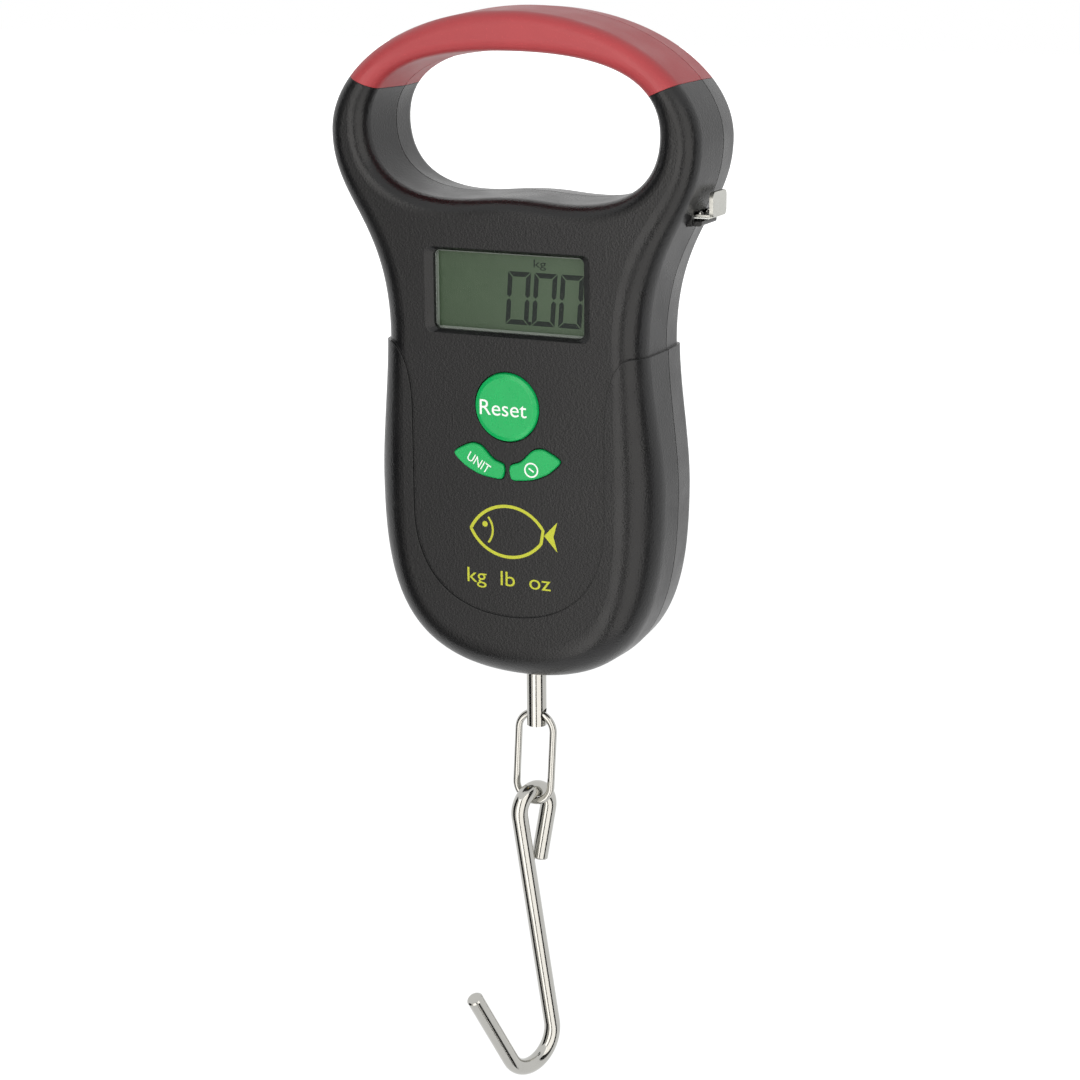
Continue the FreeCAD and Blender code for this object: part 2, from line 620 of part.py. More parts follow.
def add_rear_case():
    shape = half_case(REAR_SEAM, REAR_FACE, REAR_ROUNDING)
    shape = shape.cut(cavity(-FAR, REAR_INSIDE, size("wall")))
    bosses = [post(x, z, (REAR_SEAM, REAR_INSIDE + 1), size("case_boss_radius"))
              for x, z in CASE_SCREWS]
    bosses += [post(x, z, (BRACKET_REAR, REAR_INSIDE + 1), size("post_radius"))
               for x, z in BRACKET_SCREWS]
    bosses.append(post(0, DRUM_Z, (size("tape_width") / 2 + size("drum_flange") + 0.4,
                                   REAR_INSIDE + 1), 4.0))
    shape = shape.multiFuse(bosses + anchor_seats(REAR_SEAM, REAR_INSIDE + 0.5))
    head = size("case_head_radius") + size("fit_gap")
    holes = [post(x, z, (REAR_FACE - 3.0, FAR), head) for x, z in CASE_SCREWS]
    holes += [post(x, z, (-FAR, FAR), size("case_screw_radius") + size("fit_gap"))
              for x, z in CASE_SCREWS]
    holes += [post(x, z, (BRACKET_REAR, REAR_INSIDE), size("small_screw_radius"))
              for x, z in BRACKET_SCREWS]
    holes.append(post(0, DRUM_Z, (0, REAR_INSIDE), size("drum_bore") - size("axle_gap")))
    pin_reach = size("door_half") + 2.2
    pin_hole = Part.makeCylinder(size("door_pin") + 0.05, 2 * pin_reach,
                                 V(-pin_reach, DOOR_AXIS_Y, DOOR_AXIS_Z), V(1, 0, 0))
    holes += [door_opening(REAR_INSIDE - 1, FAR, size("door_gap")), pin_hole, tape_slot(),
              shaft_hole()]
    shape = shape.cut(Part.makeCompound(holes))
    return node("rear_case", solid("RearCase", largest(shape)))


def add_grips():
    front = grip_half_shape(FRONT_SEAM, FRONT_FACE, FRONT_ROUNDING)
    rear = grip_half_shape(REAR_SEAM, REAR_FACE, REAR_ROUNDING)
    node("front_grip", solid("FrontGrip", largest(front)))
    node("rear_grip", solid("RearGrip", largest(rear)))


# ---------------------------------------------------------------- display
LCD = {"mid": "-Dims.lcd_drop", "flange_front": "(-Dims.front_depth + Dims.wall + 0.1)"}
LCD["flange_rear"] = f"({LCD['flange_front']} + Dims.lens_flange_thick)"
LCD["glass_front"] = f"({LCD['flange_rear']} + 0.1)"
LCD["glass_rear"] = f"({LCD['glass_front']} + Dims.glass_thick)"
LCD["board"] = "-Dims.pcb_depth"


def centred(width, height, middle):
    """Corner expressions of a rectangle centred on x = 0 and on a height."""
    return ((f"-({width}) / 2", f"({width}) / 2"),
            (f"{middle} - ({height}) / 2", f"{middle} + ({height}) / 2"))


def add_display():
    mid = LCD["mid"]
    middle = -size("lcd_drop")
    half = (size("lens_width") / 2, size("lens_height") / 2)
    flange_half = [length + size("lens_flange") for length in half]
    front = FRONT_FACE + size("lens_sink")
    flange_front = FRONT_INSIDE + 0.1
    raised = Part.Face(rounded_rectangle(half, middle, front, size("lens_corner")))
    raised = raised.extrude(V(0, flange_front - front, 0))
    rim_edges = [edge for edge in raised.Edges if abs(edge.CenterOfMass.y - front) < 0.01]
    raised = raised.makeChamfer(size("lens_bevel"), rim_edges)
    flange = slab((-flange_half[0], flange_half[0]),
                  (flange_front, flange_front + size("lens_flange_thick")),
                  (middle - flange_half[1], middle + flange_half[1]))
    node("lcd_lens", solid("LcdLens", raised.fuse(flange).removeSplitter()))
    panel = new_body("lcd_panel")
    pad(panel, "y", (LCD["glass_front"], LCD["glass_rear"]),
        lambda sketch: draw_rectangle(sketch, *centred("Dims.lens_width + 2.2",
                                                       "Dims.lens_height + 3.2", mid)))
    frame = new_body("lcd_frame")
    pad(frame, "y", (LCD["flange_rear"], LCD["board"]),
        lambda sketch: draw_rectangle(sketch, *centred("Dims.lens_width + 7.4",
                                                       "Dims.lens_height + 7.4", mid)))
    pocket(frame, "y", (LCD["flange_rear"] + " - 1", LCD["board"] + " + 1"),
           lambda sketch: draw_rectangle(sketch, *centred("Dims.lens_width + 2.8",
                                                          "Dims.lens_height + 3.8", mid)))
    strips = []
    for sign in ("-", "+"):
        middle = f"({mid} {sign} (Dims.lens_height / 2 + 0.3))"
        strips.append(box("ZebraStrip", ("-Dims.zebra_half", "Dims.zebra_half"),
                          (LCD["glass_rear"], LCD["board"]),
                          (f"{middle} - Dims.zebra_thick / 2", f"{middle} + Dims.zebra_thick / 2")))
    node("zebra_strips", group("ZebraStrips", *strips))


# ---------------------------------------------------------------- circuit board
def add_board():
    board = new_body("main_pcb")
    rear = "(-Dims.pcb_depth + Dims.pcb_thick)"
    pad(board, "y", ("-Dims.pcb_depth", rear),
        lambda sketch: draw_rectangle(sketch, ("-Dims.pcb_width / 2", "Dims.pcb_width / 2"),
                                      ("-Dims.pcb_bottom_drop", "-Dims.pcb_top_drop")))

    def screw_holes(sketch):
        for sign in ("-", ""):
            for drop in ("pcb_screw_top", "pcb_screw_low"):
                draw_circle(sketch, f"{sign}Dims.pcb_screw_x", f"-Dims.{drop}",
                            "Dims.small_screw_radius + 0.2")

    pocket(board, "y", ("-Dims.pcb_depth - 1", rear + " + 1"), screw_holes)
    screws = []
    for x, z in PCB_SCREWS:
        head = Part.makeCylinder(size("small_head_radius"), 1.2, V(x, PCB_REAR, z), V(0, 1, 0))
        shank = post(x, z, (FRONT_INSIDE + 0.4, PCB_REAR), size("small_screw_radius") - 0.05)
        screws.append(cross_slot(head.fuse(shank), V(x, PCB_REAR + 1.2, z), V(0, -1, 0), 1.9, 0.45))
    node("pcb_screws", solid("PcbScrews", Part.makeCompound(screws)))
    chip = cylinder("ChipBlob", "y", ("0", "0", "-Dims.chip_drop"),
                    (rear, rear + " + Dims.chip_tall"), "Dims.chip_radius")
    crystal = box("Crystal", ("Dims.crystal_x", "Dims.crystal_x + Dims.crystal_long"),
                  (rear, rear + " + Dims.crystal_tall"),
                  ("-Dims.crystal_drop - Dims.crystal_wide", "-Dims.crystal_drop"))
    caps = [box("Capacitor", (f"{x}", f"{x} + Dims.chip_cap_long"),
                (rear, rear + " + Dims.chip_cap_tall"),
                (f"-Dims.chip_drop + {up}", f"-Dims.chip_drop + {up} + Dims.chip_cap_wide"))
            for x, up in ((-13, 7), (-13, 4), (-13, 1), (9, 2), (9, -0.5), (-8, -10))]
    node("pcb_components", group("PcbComponents", chip, crystal, *caps))
    spot = ("Dims.buzzer_x", "0", "-Dims.buzzer_drop")
    can_end = rear + " + Dims.buzzer_tall"
    node("buzzer", cut("Buzzer", cylinder("BuzzerCan", "y", spot, (rear, can_end), "Dims.buzzer_radius"),
                       cylinder("BuzzerPort", "y", spot, (can_end + " - 1", can_end + " + 1"),
                                "Dims.buzzer_port")))
    front = "-Dims.pcb_depth"
    wing = "-Dims.reset_drop - Dims.wing_stem_below"
    domes = [cylinder("Dome", "y", (x, "0", z), (front + " - Dims.dome_thick", front),
                      "Dims.dome_radius")
             for x, z in (("0", "-Dims.reset_drop"), ("-Dims.wing_stem_x", wing),
                          ("Dims.wing_stem_x", wing))]
    node("switch_domes", group("SwitchDomes", *domes))


def cross_slot(head, centre, inward, width, deep):
    """Cuts a cross recess into a screw head along Y or Z."""
    across = [V(1, 0, 0), V(0, 0, 1) if abs(inward.y) > 0.5 else V(0, 1, 0)]
    for long_way, short_way in (across, across[::-1]):
        corner = centre - long_way * (width / 2) - short_way * (width / 8)
        face = Part.makePolygon([corner, corner + long_way * width,
                                 corner + long_way * width + short_way * (width / 4),
                                 corner + short_way * (width / 4), corner])
        head = head.cut(Part.Face(face).extrude(inward * deep))
    return head


# ---------------------------------------------------------------- keys
KEY_REST = -(size("pcb_depth") + size("dome_thick") + size("key_travel") + 0.1)
FLANGE_FRONT = FRONT_INSIDE + 0.1


def add_reset_button():
    """A domed round key: a turned body on the Y axis, with a flange and a stem."""
    body = new_body("reset_button")
    sketch = body.newObject("Sketcher::SketchObject", "reset_profile")
    plane = next(part for part in body.Origin.OriginFeatures if part.Role == "YZ_Plane")
    sketch.AttachmentSupport = (plane, "")
    sketch.MapMode = "FlatFace"
    front = "(-Dims.front_depth - Dims.key_proud)"
    flange = "(-Dims.front_depth + Dims.wall + 0.1)"
    rest = "(-(Dims.pcb_depth + Dims.dome_thick + Dims.key_travel + 0.1))"
    middle = "-Dims.reset_drop"
    draw_loop(sketch, [(front, middle), (front, f"{middle} + Dims.reset_radius * 0.86"),
                       (f"{front} + 0.35", f"{middle} + Dims.reset_radius * 0.97"),
                       (f"{front} + 0.95", f"{middle} + Dims.reset_radius"),
                       (flange, f"{middle} + Dims.reset_radius"),
                       (flange, f"{middle} + Dims.reset_radius + Dims.key_flange"),
                       (f"{flange} + Dims.key_flange_thick",
                        f"{middle} + Dims.reset_radius + Dims.key_flange"),
                       (f"{flange} + Dims.key_flange_thick", f"{middle} + Dims.reset_stem"),
                       (rest, f"{middle} + Dims.reset_stem"), (rest, middle)])
    axis = sketch.addGeometry(Part.LineSegment(V(0, 0, 0), V(1, 0, 0)), True)
    fix_point(sketch, axis, 1, front, middle)
    fix_point(sketch, axis, 2, rest, middle)
    turned = body.newObject("PartDesign::Revolution", "reset_turned")
    turned.Profile = sketch
    turned.ReferenceAxis = (sketch, ["Axis0"])
    turned.Angle = 360


def add_wing_buttons():
    front = FRONT_FACE - size("key_proud")
    for name, side in (("unit_button", -1), ("power_button", 1)):
        cap = key_prism(0, side, front + 0.35, FLANGE_FRONT)
        crown = Part.makeLoft([key_wire(0, side, front + 0.35), key_wire(-0.3, side, front)], True, True)
        flange = key_prism(size("key_flange") - 0.5, side, FLANGE_FRONT,
                           FLANGE_FRONT + size("key_flange_thick"))
        stem = post(side * size("wing_stem_x"), -size("reset_drop") - size("wing_stem_below"),
                    (FLANGE_FRONT, KEY_REST), size("wing_stem"))
        shape = cap.multiFuse([crown, flange, stem]).removeSplitter()
        node(name, solid(name.title().replace("_", ""), shape))


# ---------------------------------------------------------------- tape measure
def add_tape():
    half = "Dims.tape_width / 2"
    drop = "(Dims.tape_drop + Dims.coil_radius + 0.3)"
    drum = new_body("tape_drum")
    side = f"({half} + Dims.drum_flange)"
    pad(drum, "y", (f"-{side}", f"-({half} + 0.15)"),
        lambda sketch: draw_circle(sketch, "0", f"-{drop}", "Dims.coil_radius + 0.1"))
    pad(drum, "y", (f"-({half} + 0.15)", side),
        lambda sketch: draw_circle(sketch, "0", f"-{drop}", "Dims.coil_bore"))
    pocket(drum, "y", (f"-({half} + 0.1)", f"{side} + 1"),
           lambda sketch: draw_circle(sketch, "0", f"-{drop}", "Dims.coil_bore - 1.4"))
    pad(drum, "y", (f"-({half} + 0.15)", side),
        lambda sketch: draw_circle(sketch, "0", f"-{drop}", "Dims.drum_bore + 1.3"))
    pocket(drum, "y", (f"-{side} - 1", f"{side} + 1"),
           lambda sketch: draw_circle(sketch, "0", f"-{drop}", "Dims.drum_bore"))
    coil = cut("TapeCoil", cylinder("CoilBlank", "y", ("0", "0", f"-{drop}"), (f"-{half}", half),
                                    "Dims.coil_radius"),
               cylinder("CoilBore", "y", ("0", "0", f"-{drop}"), (f"-{half} - 1", f"{half} + 1"),
                        "Dims.coil_bore + 0.05"))
    node("tape_coil", coil)
    node("drum_axle", joined("DrumAxle", cylinder(
        "AxlePin", "y", ("0", "0", f"-{drop}"),
        (f"-({side} + 0.3)", "Dims.rear_depth - Dims.wall - 0.3"), "Dims.drum_bore - Dims.axle_gap - 0.01"),
        cylinder("AxleHead", "y", ("0", "0", f"-{drop}"),
                 (f"-({side} + 0.45)", f"-({side} + 0.15)"), "Dims.drum_bore + 0.9")))
    add_return_spring()
    blade = box("tape_blade", ("0", "Dims.hook_reach"), (f"-{half}", half),
                ("-Dims.tape_drop - Dims.tape_thick / 2", "-Dims.tape_drop + Dims.tape_thick / 2"))
    node("tape_blade", blade)
    add_tape_hook()
    add_tape_mouth()


def spiral_edges(radius, pitch, turns):
    """Half circles whose radius grows by half a pitch each, from the inside outwards."""
    edges = []
    reach = radius
    side = 1
    x_end = -radius
    for _ in range(2 * turns):
        start, finish = x_end, x_end + side * 2 * reach
        middle = (start + finish) / 2
        top = V(middle, 0, side * reach)
        edges.append(Part.Arc(V(start, 0, 0), top, V(finish, 0, 0)).toShape())
        x_end = finish
        side = -side
        reach += pitch / 2
    return edges, x_end


def add_return_spring():
    """A flat spiral of steel strip between the drum's hub and its rim."""
    pitch, turns, thick = 0.9, 4, 0.25
    inner = size("drum_bore") + 1.6
    near, near_end = spiral_edges(inner, pitch, turns)
    far, far_end = spiral_edges(inner + thick, pitch, turns)
    caps = [Part.LineSegment(V(-inner, 0, 0), V(-inner - thick, 0, 0)).toShape(),
            Part.LineSegment(V(near_end, 0, 0), V(far_end, 0, 0)).toShape()]
    face = Part.Face(Part.Wire(Part.__sortEdges__(near + far + caps)))
    half = size("tape_width") / 2 - 0.6
    face.translate(V(0, -half, DRUM_Z))
    node("return_spring", solid("ReturnSpring", face.extrude(V(0, 2 * half, 0))))


def add_tape_hook():
    """The stop plate on the blade's end, a folded strip riveted under the blade."""
    reach, plate, tall = size("hook_reach"), size("hook_plate"), size("hook_height")
    half = size("tape_width") / 2 + 0.2
    z = -size("tape_drop") + size("tape_thick") / 2
    face_wire = rounded_rectangle((half, tall / 2), z + tall / 2, 0, size("hook_corner"))
    upright = Part.Face(face_wire).extrude(V(0, plate, 0))
    upright.rotate(V(0, 0, 0), V(0, 0, 1), 90)
    upright.translate(V(reach + plate, 0, 0))
    foot_start, foot_top = reach - size("hook_foot"), z + 0.5
    foot = slab((foot_start, reach + plate * 0.5), (-half + 0.6, half - 0.6), (z, foot_top))
    node("tape_hook", solid("TapeHook", upright.fuse(foot).removeSplitter()))
    rivets = []
    for side in MIRROR:
        centre = V(foot_start + 2, side * size("rivet_y"), foot_top)
        rivets.append(Part.makeSphere(size("rivet_radius"), centre, V(0, 0, 1), 0, 90, 360))
    node("tape_rivets", solid("TapeRivets", Part.makeCompound(rivets)))


def add_tape_mouth():
    """The black guide in the slot, with a lip that sticks out below the blade."""
    z = -size("tape_drop")
    wide = size("tape_width") / 2 + size("slot_margin") - size("mouth_gap")
    tall = size("slot_half") - size("mouth_gap")
    start, end, tip = size("gap_half"), size("gap_half") + size("mouth_deep"), size("slot_reach")
    sleeve = slab((start, end), (-wide, wide), (z - tall, z + tall * 0.8))
    lip = slab((end, tip), (-wide + 0.8, wide - 0.8), (z - tall, z - 0.7))
    passage = slab((0, SIDE), (-wide + 1.1, wide - 1.1), (z - 0.6, z + 1.05))
    outer = [edge for edge in lip.Edges if edge.CenterOfMass.x > tip - 0.01
             and edge.Length > 2 and edge.CenterOfMass.z < z - 1]
    lip = lip.makeFillet(size("lip_round"), outer)
    node("tape_mouth", solid("TapeMouth", sleeve.fuse(lip).cut(passage).removeSplitter()))


def add_bracket():
    """A steel plate on four posts that steadies the drum's front."""
    plate = new_body("drum_bracket")
    rear = "(-(Dims.tape_width / 2 + Dims.drum_flange + 0.5))"
    pad(plate, "y", (f"{rear} - Dims.bracket_thick", rear),
        lambda sketch: draw_rectangle(sketch, ("-Dims.bracket_half", "Dims.bracket_half"),
                                      ("-Dims.bracket_screw_low - 2.6",
                                       "-Dims.bracket_screw_top + 2.6")))

    def holes(sketch):
        for sign in ("-", ""):
            for drop in ("bracket_screw_top", "bracket_screw_low"):
                draw_circle(sketch, f"{sign}Dims.bracket_screw_x", f"-Dims.{drop}",
                            "Dims.small_screw_radius + 0.1")
        draw_circle(sketch, "0", "-(Dims.tape_drop + Dims.coil_radius + 0.3)",
                    "Dims.drum_bore + 1.1")

    pocket(plate, "y", (f"{rear} - Dims.bracket_thick - 1", f"{rear} + 1"), holes)
    front = BRACKET_REAR - size("bracket_thick")
    screws = []
    for x, z in BRACKET_SCREWS:
        head = post(x, z, (front - 0.9, front), size("small_head_radius"))
        shank = post(x, z, (front, BRACKET_REAR + 5), size("small_screw_radius") - 0.05)
        screws.append(cross_slot(head.fuse(shank), V(x, front - 0.9, z), V(0, 1, 0), 1.9, 0.4))
    node("bracket_screws", solid("BracketScrews", Part.makeCompound(screws)))


# ---------------------------------------------------------------- battery bay
def add_batteries():
    tray = new_body("battery_tray")
    deep = "(Dims.cell_depth - Dims.cell_radius - 0.15)"
    rear = "(Dims.rear_depth - Dims.wall - 0.1)"
    wall = "Dims.tray_wall"
    pad(tray, "y", (f"{deep} - {wall}", rear),
        lambda sketch: draw_rectangle(sketch, ("-Dims.tray_half", "Dims.tray_half"),
                                      ("-Dims.tray_bottom_drop", "-Dims.tray_top_drop")))
    pocket(tray, "y", (deep, rear + " + 1"),
           lambda sketch: draw_rectangle(
               sketch, (f"-Dims.tray_half + {wall}", f"Dims.tray_half - {wall}"),
               (f"-Dims.tray_bottom_drop + {wall}", f"-Dims.tray_top_drop - {wall}")))
    cells = []
    springs = []
    contacts = []
    inner = size("tray_half") - size("tray_wall")
    for side, drop in ((1, size("cell_upper_drop")), (-1, size("cell_lower_drop"))):
        half = size("cell_length") / 2
        shift = side * (inner - size("contact_thick") - size("cell_nub_tall") - 0.1 - half)
        cells.append(battery(side, shift, -drop))
        springs.append(contact_spring(side, shift - side * half, -side * inner, -drop))
        plate, depth = size("contact_half"), size("cell_depth")
        for end in MIRROR:
            x = sorted((end * inner, end * (inner - size("contact_thick"))))
            contacts.append(slab(x, (depth - plate, depth + plate), (-drop - plate, -drop + plate)))
    node("batteries", solid("Batteries", Part.makeCompound(cells)))
    node("battery_springs", solid("BatterySprings", Part.makeCompound(springs)))
    node("battery_contacts", solid("BatteryContacts", Part.makeCompound(contacts)))


def battery(side, shift, z):
    """A round cell along X with a raised positive end towards side."""
    radius, length = size("cell_radius"), size("cell_length")
    start = V(shift - side * length / 2, size("cell_depth"), z)
    can = Part.makeCylinder(radius, length, start, V(side, 0, 0))
    nub = Part.makeCylinder(size("cell_nub"), size("cell_nub_tall"), start + V(side * length, 0, 0),
                            V(side, 0, 0))
    rim = [edge for edge in can.Edges if edge.Closed]
    return can.makeFillet(0.4, rim).fuse(nub)


def contact_spring(side, cell_end, wall_x, z):
    """A bent leaf spring between the contact on the tray's wall and the flat end of a battery."""
    thick, half = size("contact_thick"), size("leaf_half")
    rise = abs(cell_end - wall_x) - thick - 2 * size("leaf_gap")
    crest, back = 0.4 * half, rise - size("leaf_return")
    profile = [(0, -half), (rise - thick, crest), (back - thick, half), (back, half), (rise, crest),
               (thick, -half)]
    foot = wall_x + side * (thick + size("leaf_gap"))
    corners = [V(foot + side * x, size("cell_depth") + y, z - half) for x, y in profile]
    leaf = Part.Face(Part.makePolygon(corners + corners[:1]))
    return leaf.extrude(V(0, 0, 2 * half))


def add_door():
    """The battery door: a flat lid on two pins at its lower edge, with a finger groove."""
    half = size("door_half")
    thick = size("door_thick")
    top, low = -size("door_top_drop"), -size("door_bottom_drop")
    rear, inside = REAR_FACE, REAR_FACE - thick
    lid = slab((-half, half), (inside, rear), (DOOR_AXIS_Z, top))
    knuckle = Part.makeCylinder(thick * 0.55, 2 * half, V(-half, DOOR_AXIS_Y, DOOR_AXIS_Z), V(1, 0, 0))
    pins = Part.makeCylinder(size("door_pin"), 2 * half + 3.6,
                             V(-half - 1.8, DOOR_AXIS_Y, DOOR_AXIS_Z), V(1, 0, 0))
    shape = lid.multiFuse([knuckle, pins])
    for step in range(5):
        z = top - 3.0 - 1.5 * step
        groove = Part.makeCylinder(0.55, 16, V(-8, rear + 0.15, z), V(1, 0, 0))
        shape = shape.cut(groove)
    tongue = slab((-5, 5), (inside - 1.0, inside), (top - 2.6, top - 1.6))
    shape = shape.fuse(tongue).removeSplitter()
    node("battery_door", solid("BatteryDoor", largest(shape)))


# ---------------------------------------------------------------- load cell
def add_load_cell():
    """An S-shaped aluminium block with a sensing hole and a window for the shaft's nut."""
    body = new_body("load_cell")
    half, deep = "Dims.loadcell_half", "Dims.loadcell_deep / 2"
    top, low = "-Dims.loadcell_top_drop", "-Dims.loadcell_bottom_drop"
    pad(body, "y", (f"-{deep}", deep),
        lambda sketch: draw_rectangle(sketch, (f"-{half}", half), (low, top)))
    through = (f"-{deep} - 1", f"{deep} + 1")
    arm_low = f"({low} + Dims.arm_height)"
    arm_top = f"({top} - Dims.arm_height)"
    pocket(body, "y", through,
           lambda sketch: draw_rectangle(sketch, (f"-{half} + Dims.web", f"{half} + 1"),
                                         (arm_low, f"{arm_low} + Dims.slot_height")))
    pocket(body, "y", through,
           lambda sketch: draw_rectangle(sketch, (f"-{half} + Dims.web", f"{half} - Dims.web"),
                                         (arm_low, f"{arm_low} + Dims.nut_window")))
    pocket(body, "y", through,
           lambda sketch: draw_rectangle(sketch, (f"-{half} - 1", f"{half} - Dims.web"),
                                         (f"{arm_top} - Dims.slot_height", arm_top)))
    middle = f"(({arm_top} - Dims.slot_height + {arm_low} + Dims.nut_window) / 2)"
    pocket(body, "y", through,
           lambda sketch: draw_circle(sketch, "0", middle, "Dims.sensing_radius"))
    pocket(body, "z", (f"{low} - 1", f"{arm_low} + 0.5"),
           lambda sketch: draw_circle(sketch, "0", "0", "Dims.shaft_radius + Dims.shaft_gap"))

    def anchor_holes(sketch):
        for sign in ("-", ""):
            draw_circle(sketch, f"{sign}Dims.anchor_screw_x", "0", "Dims.anchor_screw_radius")

    pocket(body, "z", (arm_top, f"{top} + 1"), anchor_holes)
    gauges = []
    for sign in ("-", ""):
        for face in ("-", ""):
            x = f"{sign}(Dims.sensing_radius + 2.2)"
            low_y, high_y = (f"-{deep} - 0.15", f"-{deep}") if face else (deep, f"{deep} + 0.15")
            gauges.append(box("Gauge", (f"{x} - 1.3", f"{x} + 1.3"), (low_y, high_y),
                              (f"{middle} - 2.2", f"{middle} + 2.2")))
    node("strain_gauges", group("StrainGauges", *gauges))


def add_anchor():
    """The steel plate that hangs the load cell from the case's ribs, and its two screws."""
    plate = new_body("anchor_plate")
    low = "-Dims.loadcell_top_drop"
    high = f"({low} + Dims.anchor_thick)"
    pad(plate, "z", (low, high),
        lambda sketch: draw_rectangle(sketch, ("-Dims.anchor_half", "Dims.anchor_half"),
                                      ("-Dims.anchor_deep / 2", "Dims.anchor_deep / 2")))

    def holes(sketch):
        for sign in ("-", ""):
            draw_circle(sketch, f"{sign}Dims.anchor_screw_x", "0",
                        "Dims.anchor_screw_radius + 0.15")

    pocket(plate, "z", (f"{low} - 1", f"{high} + 1"), holes)
    top = -size("loadcell_top_drop") + size("anchor_thick")
    screws = []
    for side in MIRROR:
        x = side * size("anchor_screw_x")
        head = Part.makeCylinder(2.7, 2.0, V(x, 0, top))
        shank = Part.makeCylinder(size("anchor_screw_radius") - 0.05,
                                  size("anchor_thick") + size("arm_height") - 0.5,
                                  V(x, 0, -size("loadcell_top_drop") - size("arm_height") + 0.5))
        screws.append(cross_slot(head.fuse(shank), V(x, 0, top + 2.0), V(0, 0, -1), 3.0, 0.9))
    node("anchor_screws", solid("AnchorScrews", Part.makeCompound(screws)))


# ---------------------------------------------------------------- shaft and swivel
def add_shaft():
    """A round rod with a cross hole for the link; its head end carries a washer and a nut."""
    shaft = new_body("load_shaft")
    pad(shaft, "z", ("-Dims.shaft_end_drop", "-Dims.shaft_top_drop"),
        lambda sketch: draw_circle(sketch, "0", "0", "Dims.shaft_radius"))
    pocket(shaft, "x", ("-Dims.shaft_radius - 1", "Dims.shaft_radius + 1"),
           lambda sketch: draw_circle(sketch, "0", "-Dims.eye_drop", "Dims.eye_radius"))
    seat = "(-Dims.loadcell_bottom_drop + Dims.arm_height)"
    nut_seat = f"({seat} + 0.05 + Dims.washer_thick)"
    washer = cut("ShaftWasher", cylinder("WasherDisc", "z", ("0", "0", "0"),
                                         (f"{seat} + 0.05", nut_seat), "Dims.washer_radius"),
                 cylinder("WasherBore", "z", ("0", "0", "0"), (f"{seat} - 1", f"{seat} + 2"),
                          "Dims.shaft_radius + 0.03"))
    node("shaft_washer", washer)
    nut = doc.addObject("Part::Prism", "NutBlank")
    nut.Polygon = 6
    bind(nut, {"Circumradius": "Dims.nut_radius", "Height": "Dims.nut_tall",
               "Placement.Base.z": nut_seat})
    node("shaft_nut", cut("ShaftNut", nut, cylinder("NutBore", "z", ("0", "0", "0"),
                                                    (f"{seat} - 1", f"{seat} + 6"),
                                                    "Dims.shaft_radius + 0.03")))
    floor = "(-Dims.bottom_drop + Dims.wall)"
    tube = cylinder("BushTube", "z", ("0", "0", "0"), ("-Dims.bottom_drop + 0.5", f"{floor} + 0.5"),
                    "Dims.bush_radius")
    rim = cylinder("BushRim", "z", ("0", "0", "0"), (f"{floor} + 0.5", f"{floor} + 1.7"),
                   "Dims.bush_flange")
    bore = cylinder("BushBore", "z", ("0", "0", "0"), ("-Dims.bottom_drop - 1", f"{floor} + 3"),
                    "Dims.shaft_radius + Dims.shaft_gap")
    node("shaft_bush", cut("ShaftBush", joined("BushBlank", tube, rim), bore))


# ---------------------------------------------------------------- link and hook
def pipe(spine, wire_radius):
    """A round wire bent along a chain of edges."""
    path = Part.Wire(spine)
    start = path.Edges[0]
    at = start.valueAt(start.FirstParameter)
    along = start.tangentAt(start.FirstParameter)
    section = Part.Wire(Part.makeCircle(wire_radius, at, along))
    return path.makePipeShell([section], True, False)


def add_link():
    """One closed oval of wire through the shaft's eye, leaning a little to the left."""
    wire = size("link_wire")
    arm = size("link_half") - wire
    top, low = -size("link_top_drop") - wire - arm, -size("link_bottom_drop") + wire + arm
    right = Part.LineSegment(V(arm, 0, top), V(arm, 0, low)).toShape()
    lower = Part.Arc(V(arm, 0, low), V(0, 0, low - arm), V(-arm, 0, low)).toShape()
    left = Part.LineSegment(V(-arm, 0, low), V(-arm, 0, top)).toShape()
    upper = Part.Arc(V(-arm, 0, top), V(0, 0, top + arm), V(arm, 0, top)).toShape()
    parts = [pipe([edge], wire) for edge in (right, lower, left, upper)]
    ring = parts[0].multiFuse(parts[1:]).removeSplitter()
    link = solid("ChainLink", ring)
    tilt = FreeCAD.Rotation(V(0, 1, 0), size("link_tilt"))
    link.Placement = FreeCAD.Placement(V(), tilt, V(0, 0, -size("eye_drop")))
    return node("chain_link", link)


LINK_ARM = size("link_half") - size("link_wire")
LINK_FOOT_Z = -size("link_bottom_drop") + size("link_wire") + LINK_ARM
LINK_TILT = math.radians(size("link_tilt"))
# the link hangs from the eye with a lean; the hook turns on the middle of its lowest wire
LOW_BOW_Z = -size("eye_drop") + (LINK_FOOT_Z + size("eye_drop")) * math.cos(LINK_TILT)
PIVOT = V((LINK_FOOT_Z + size("eye_drop")) * math.sin(LINK_TILT), 0, LOW_BOW_Z - LINK_ARM)


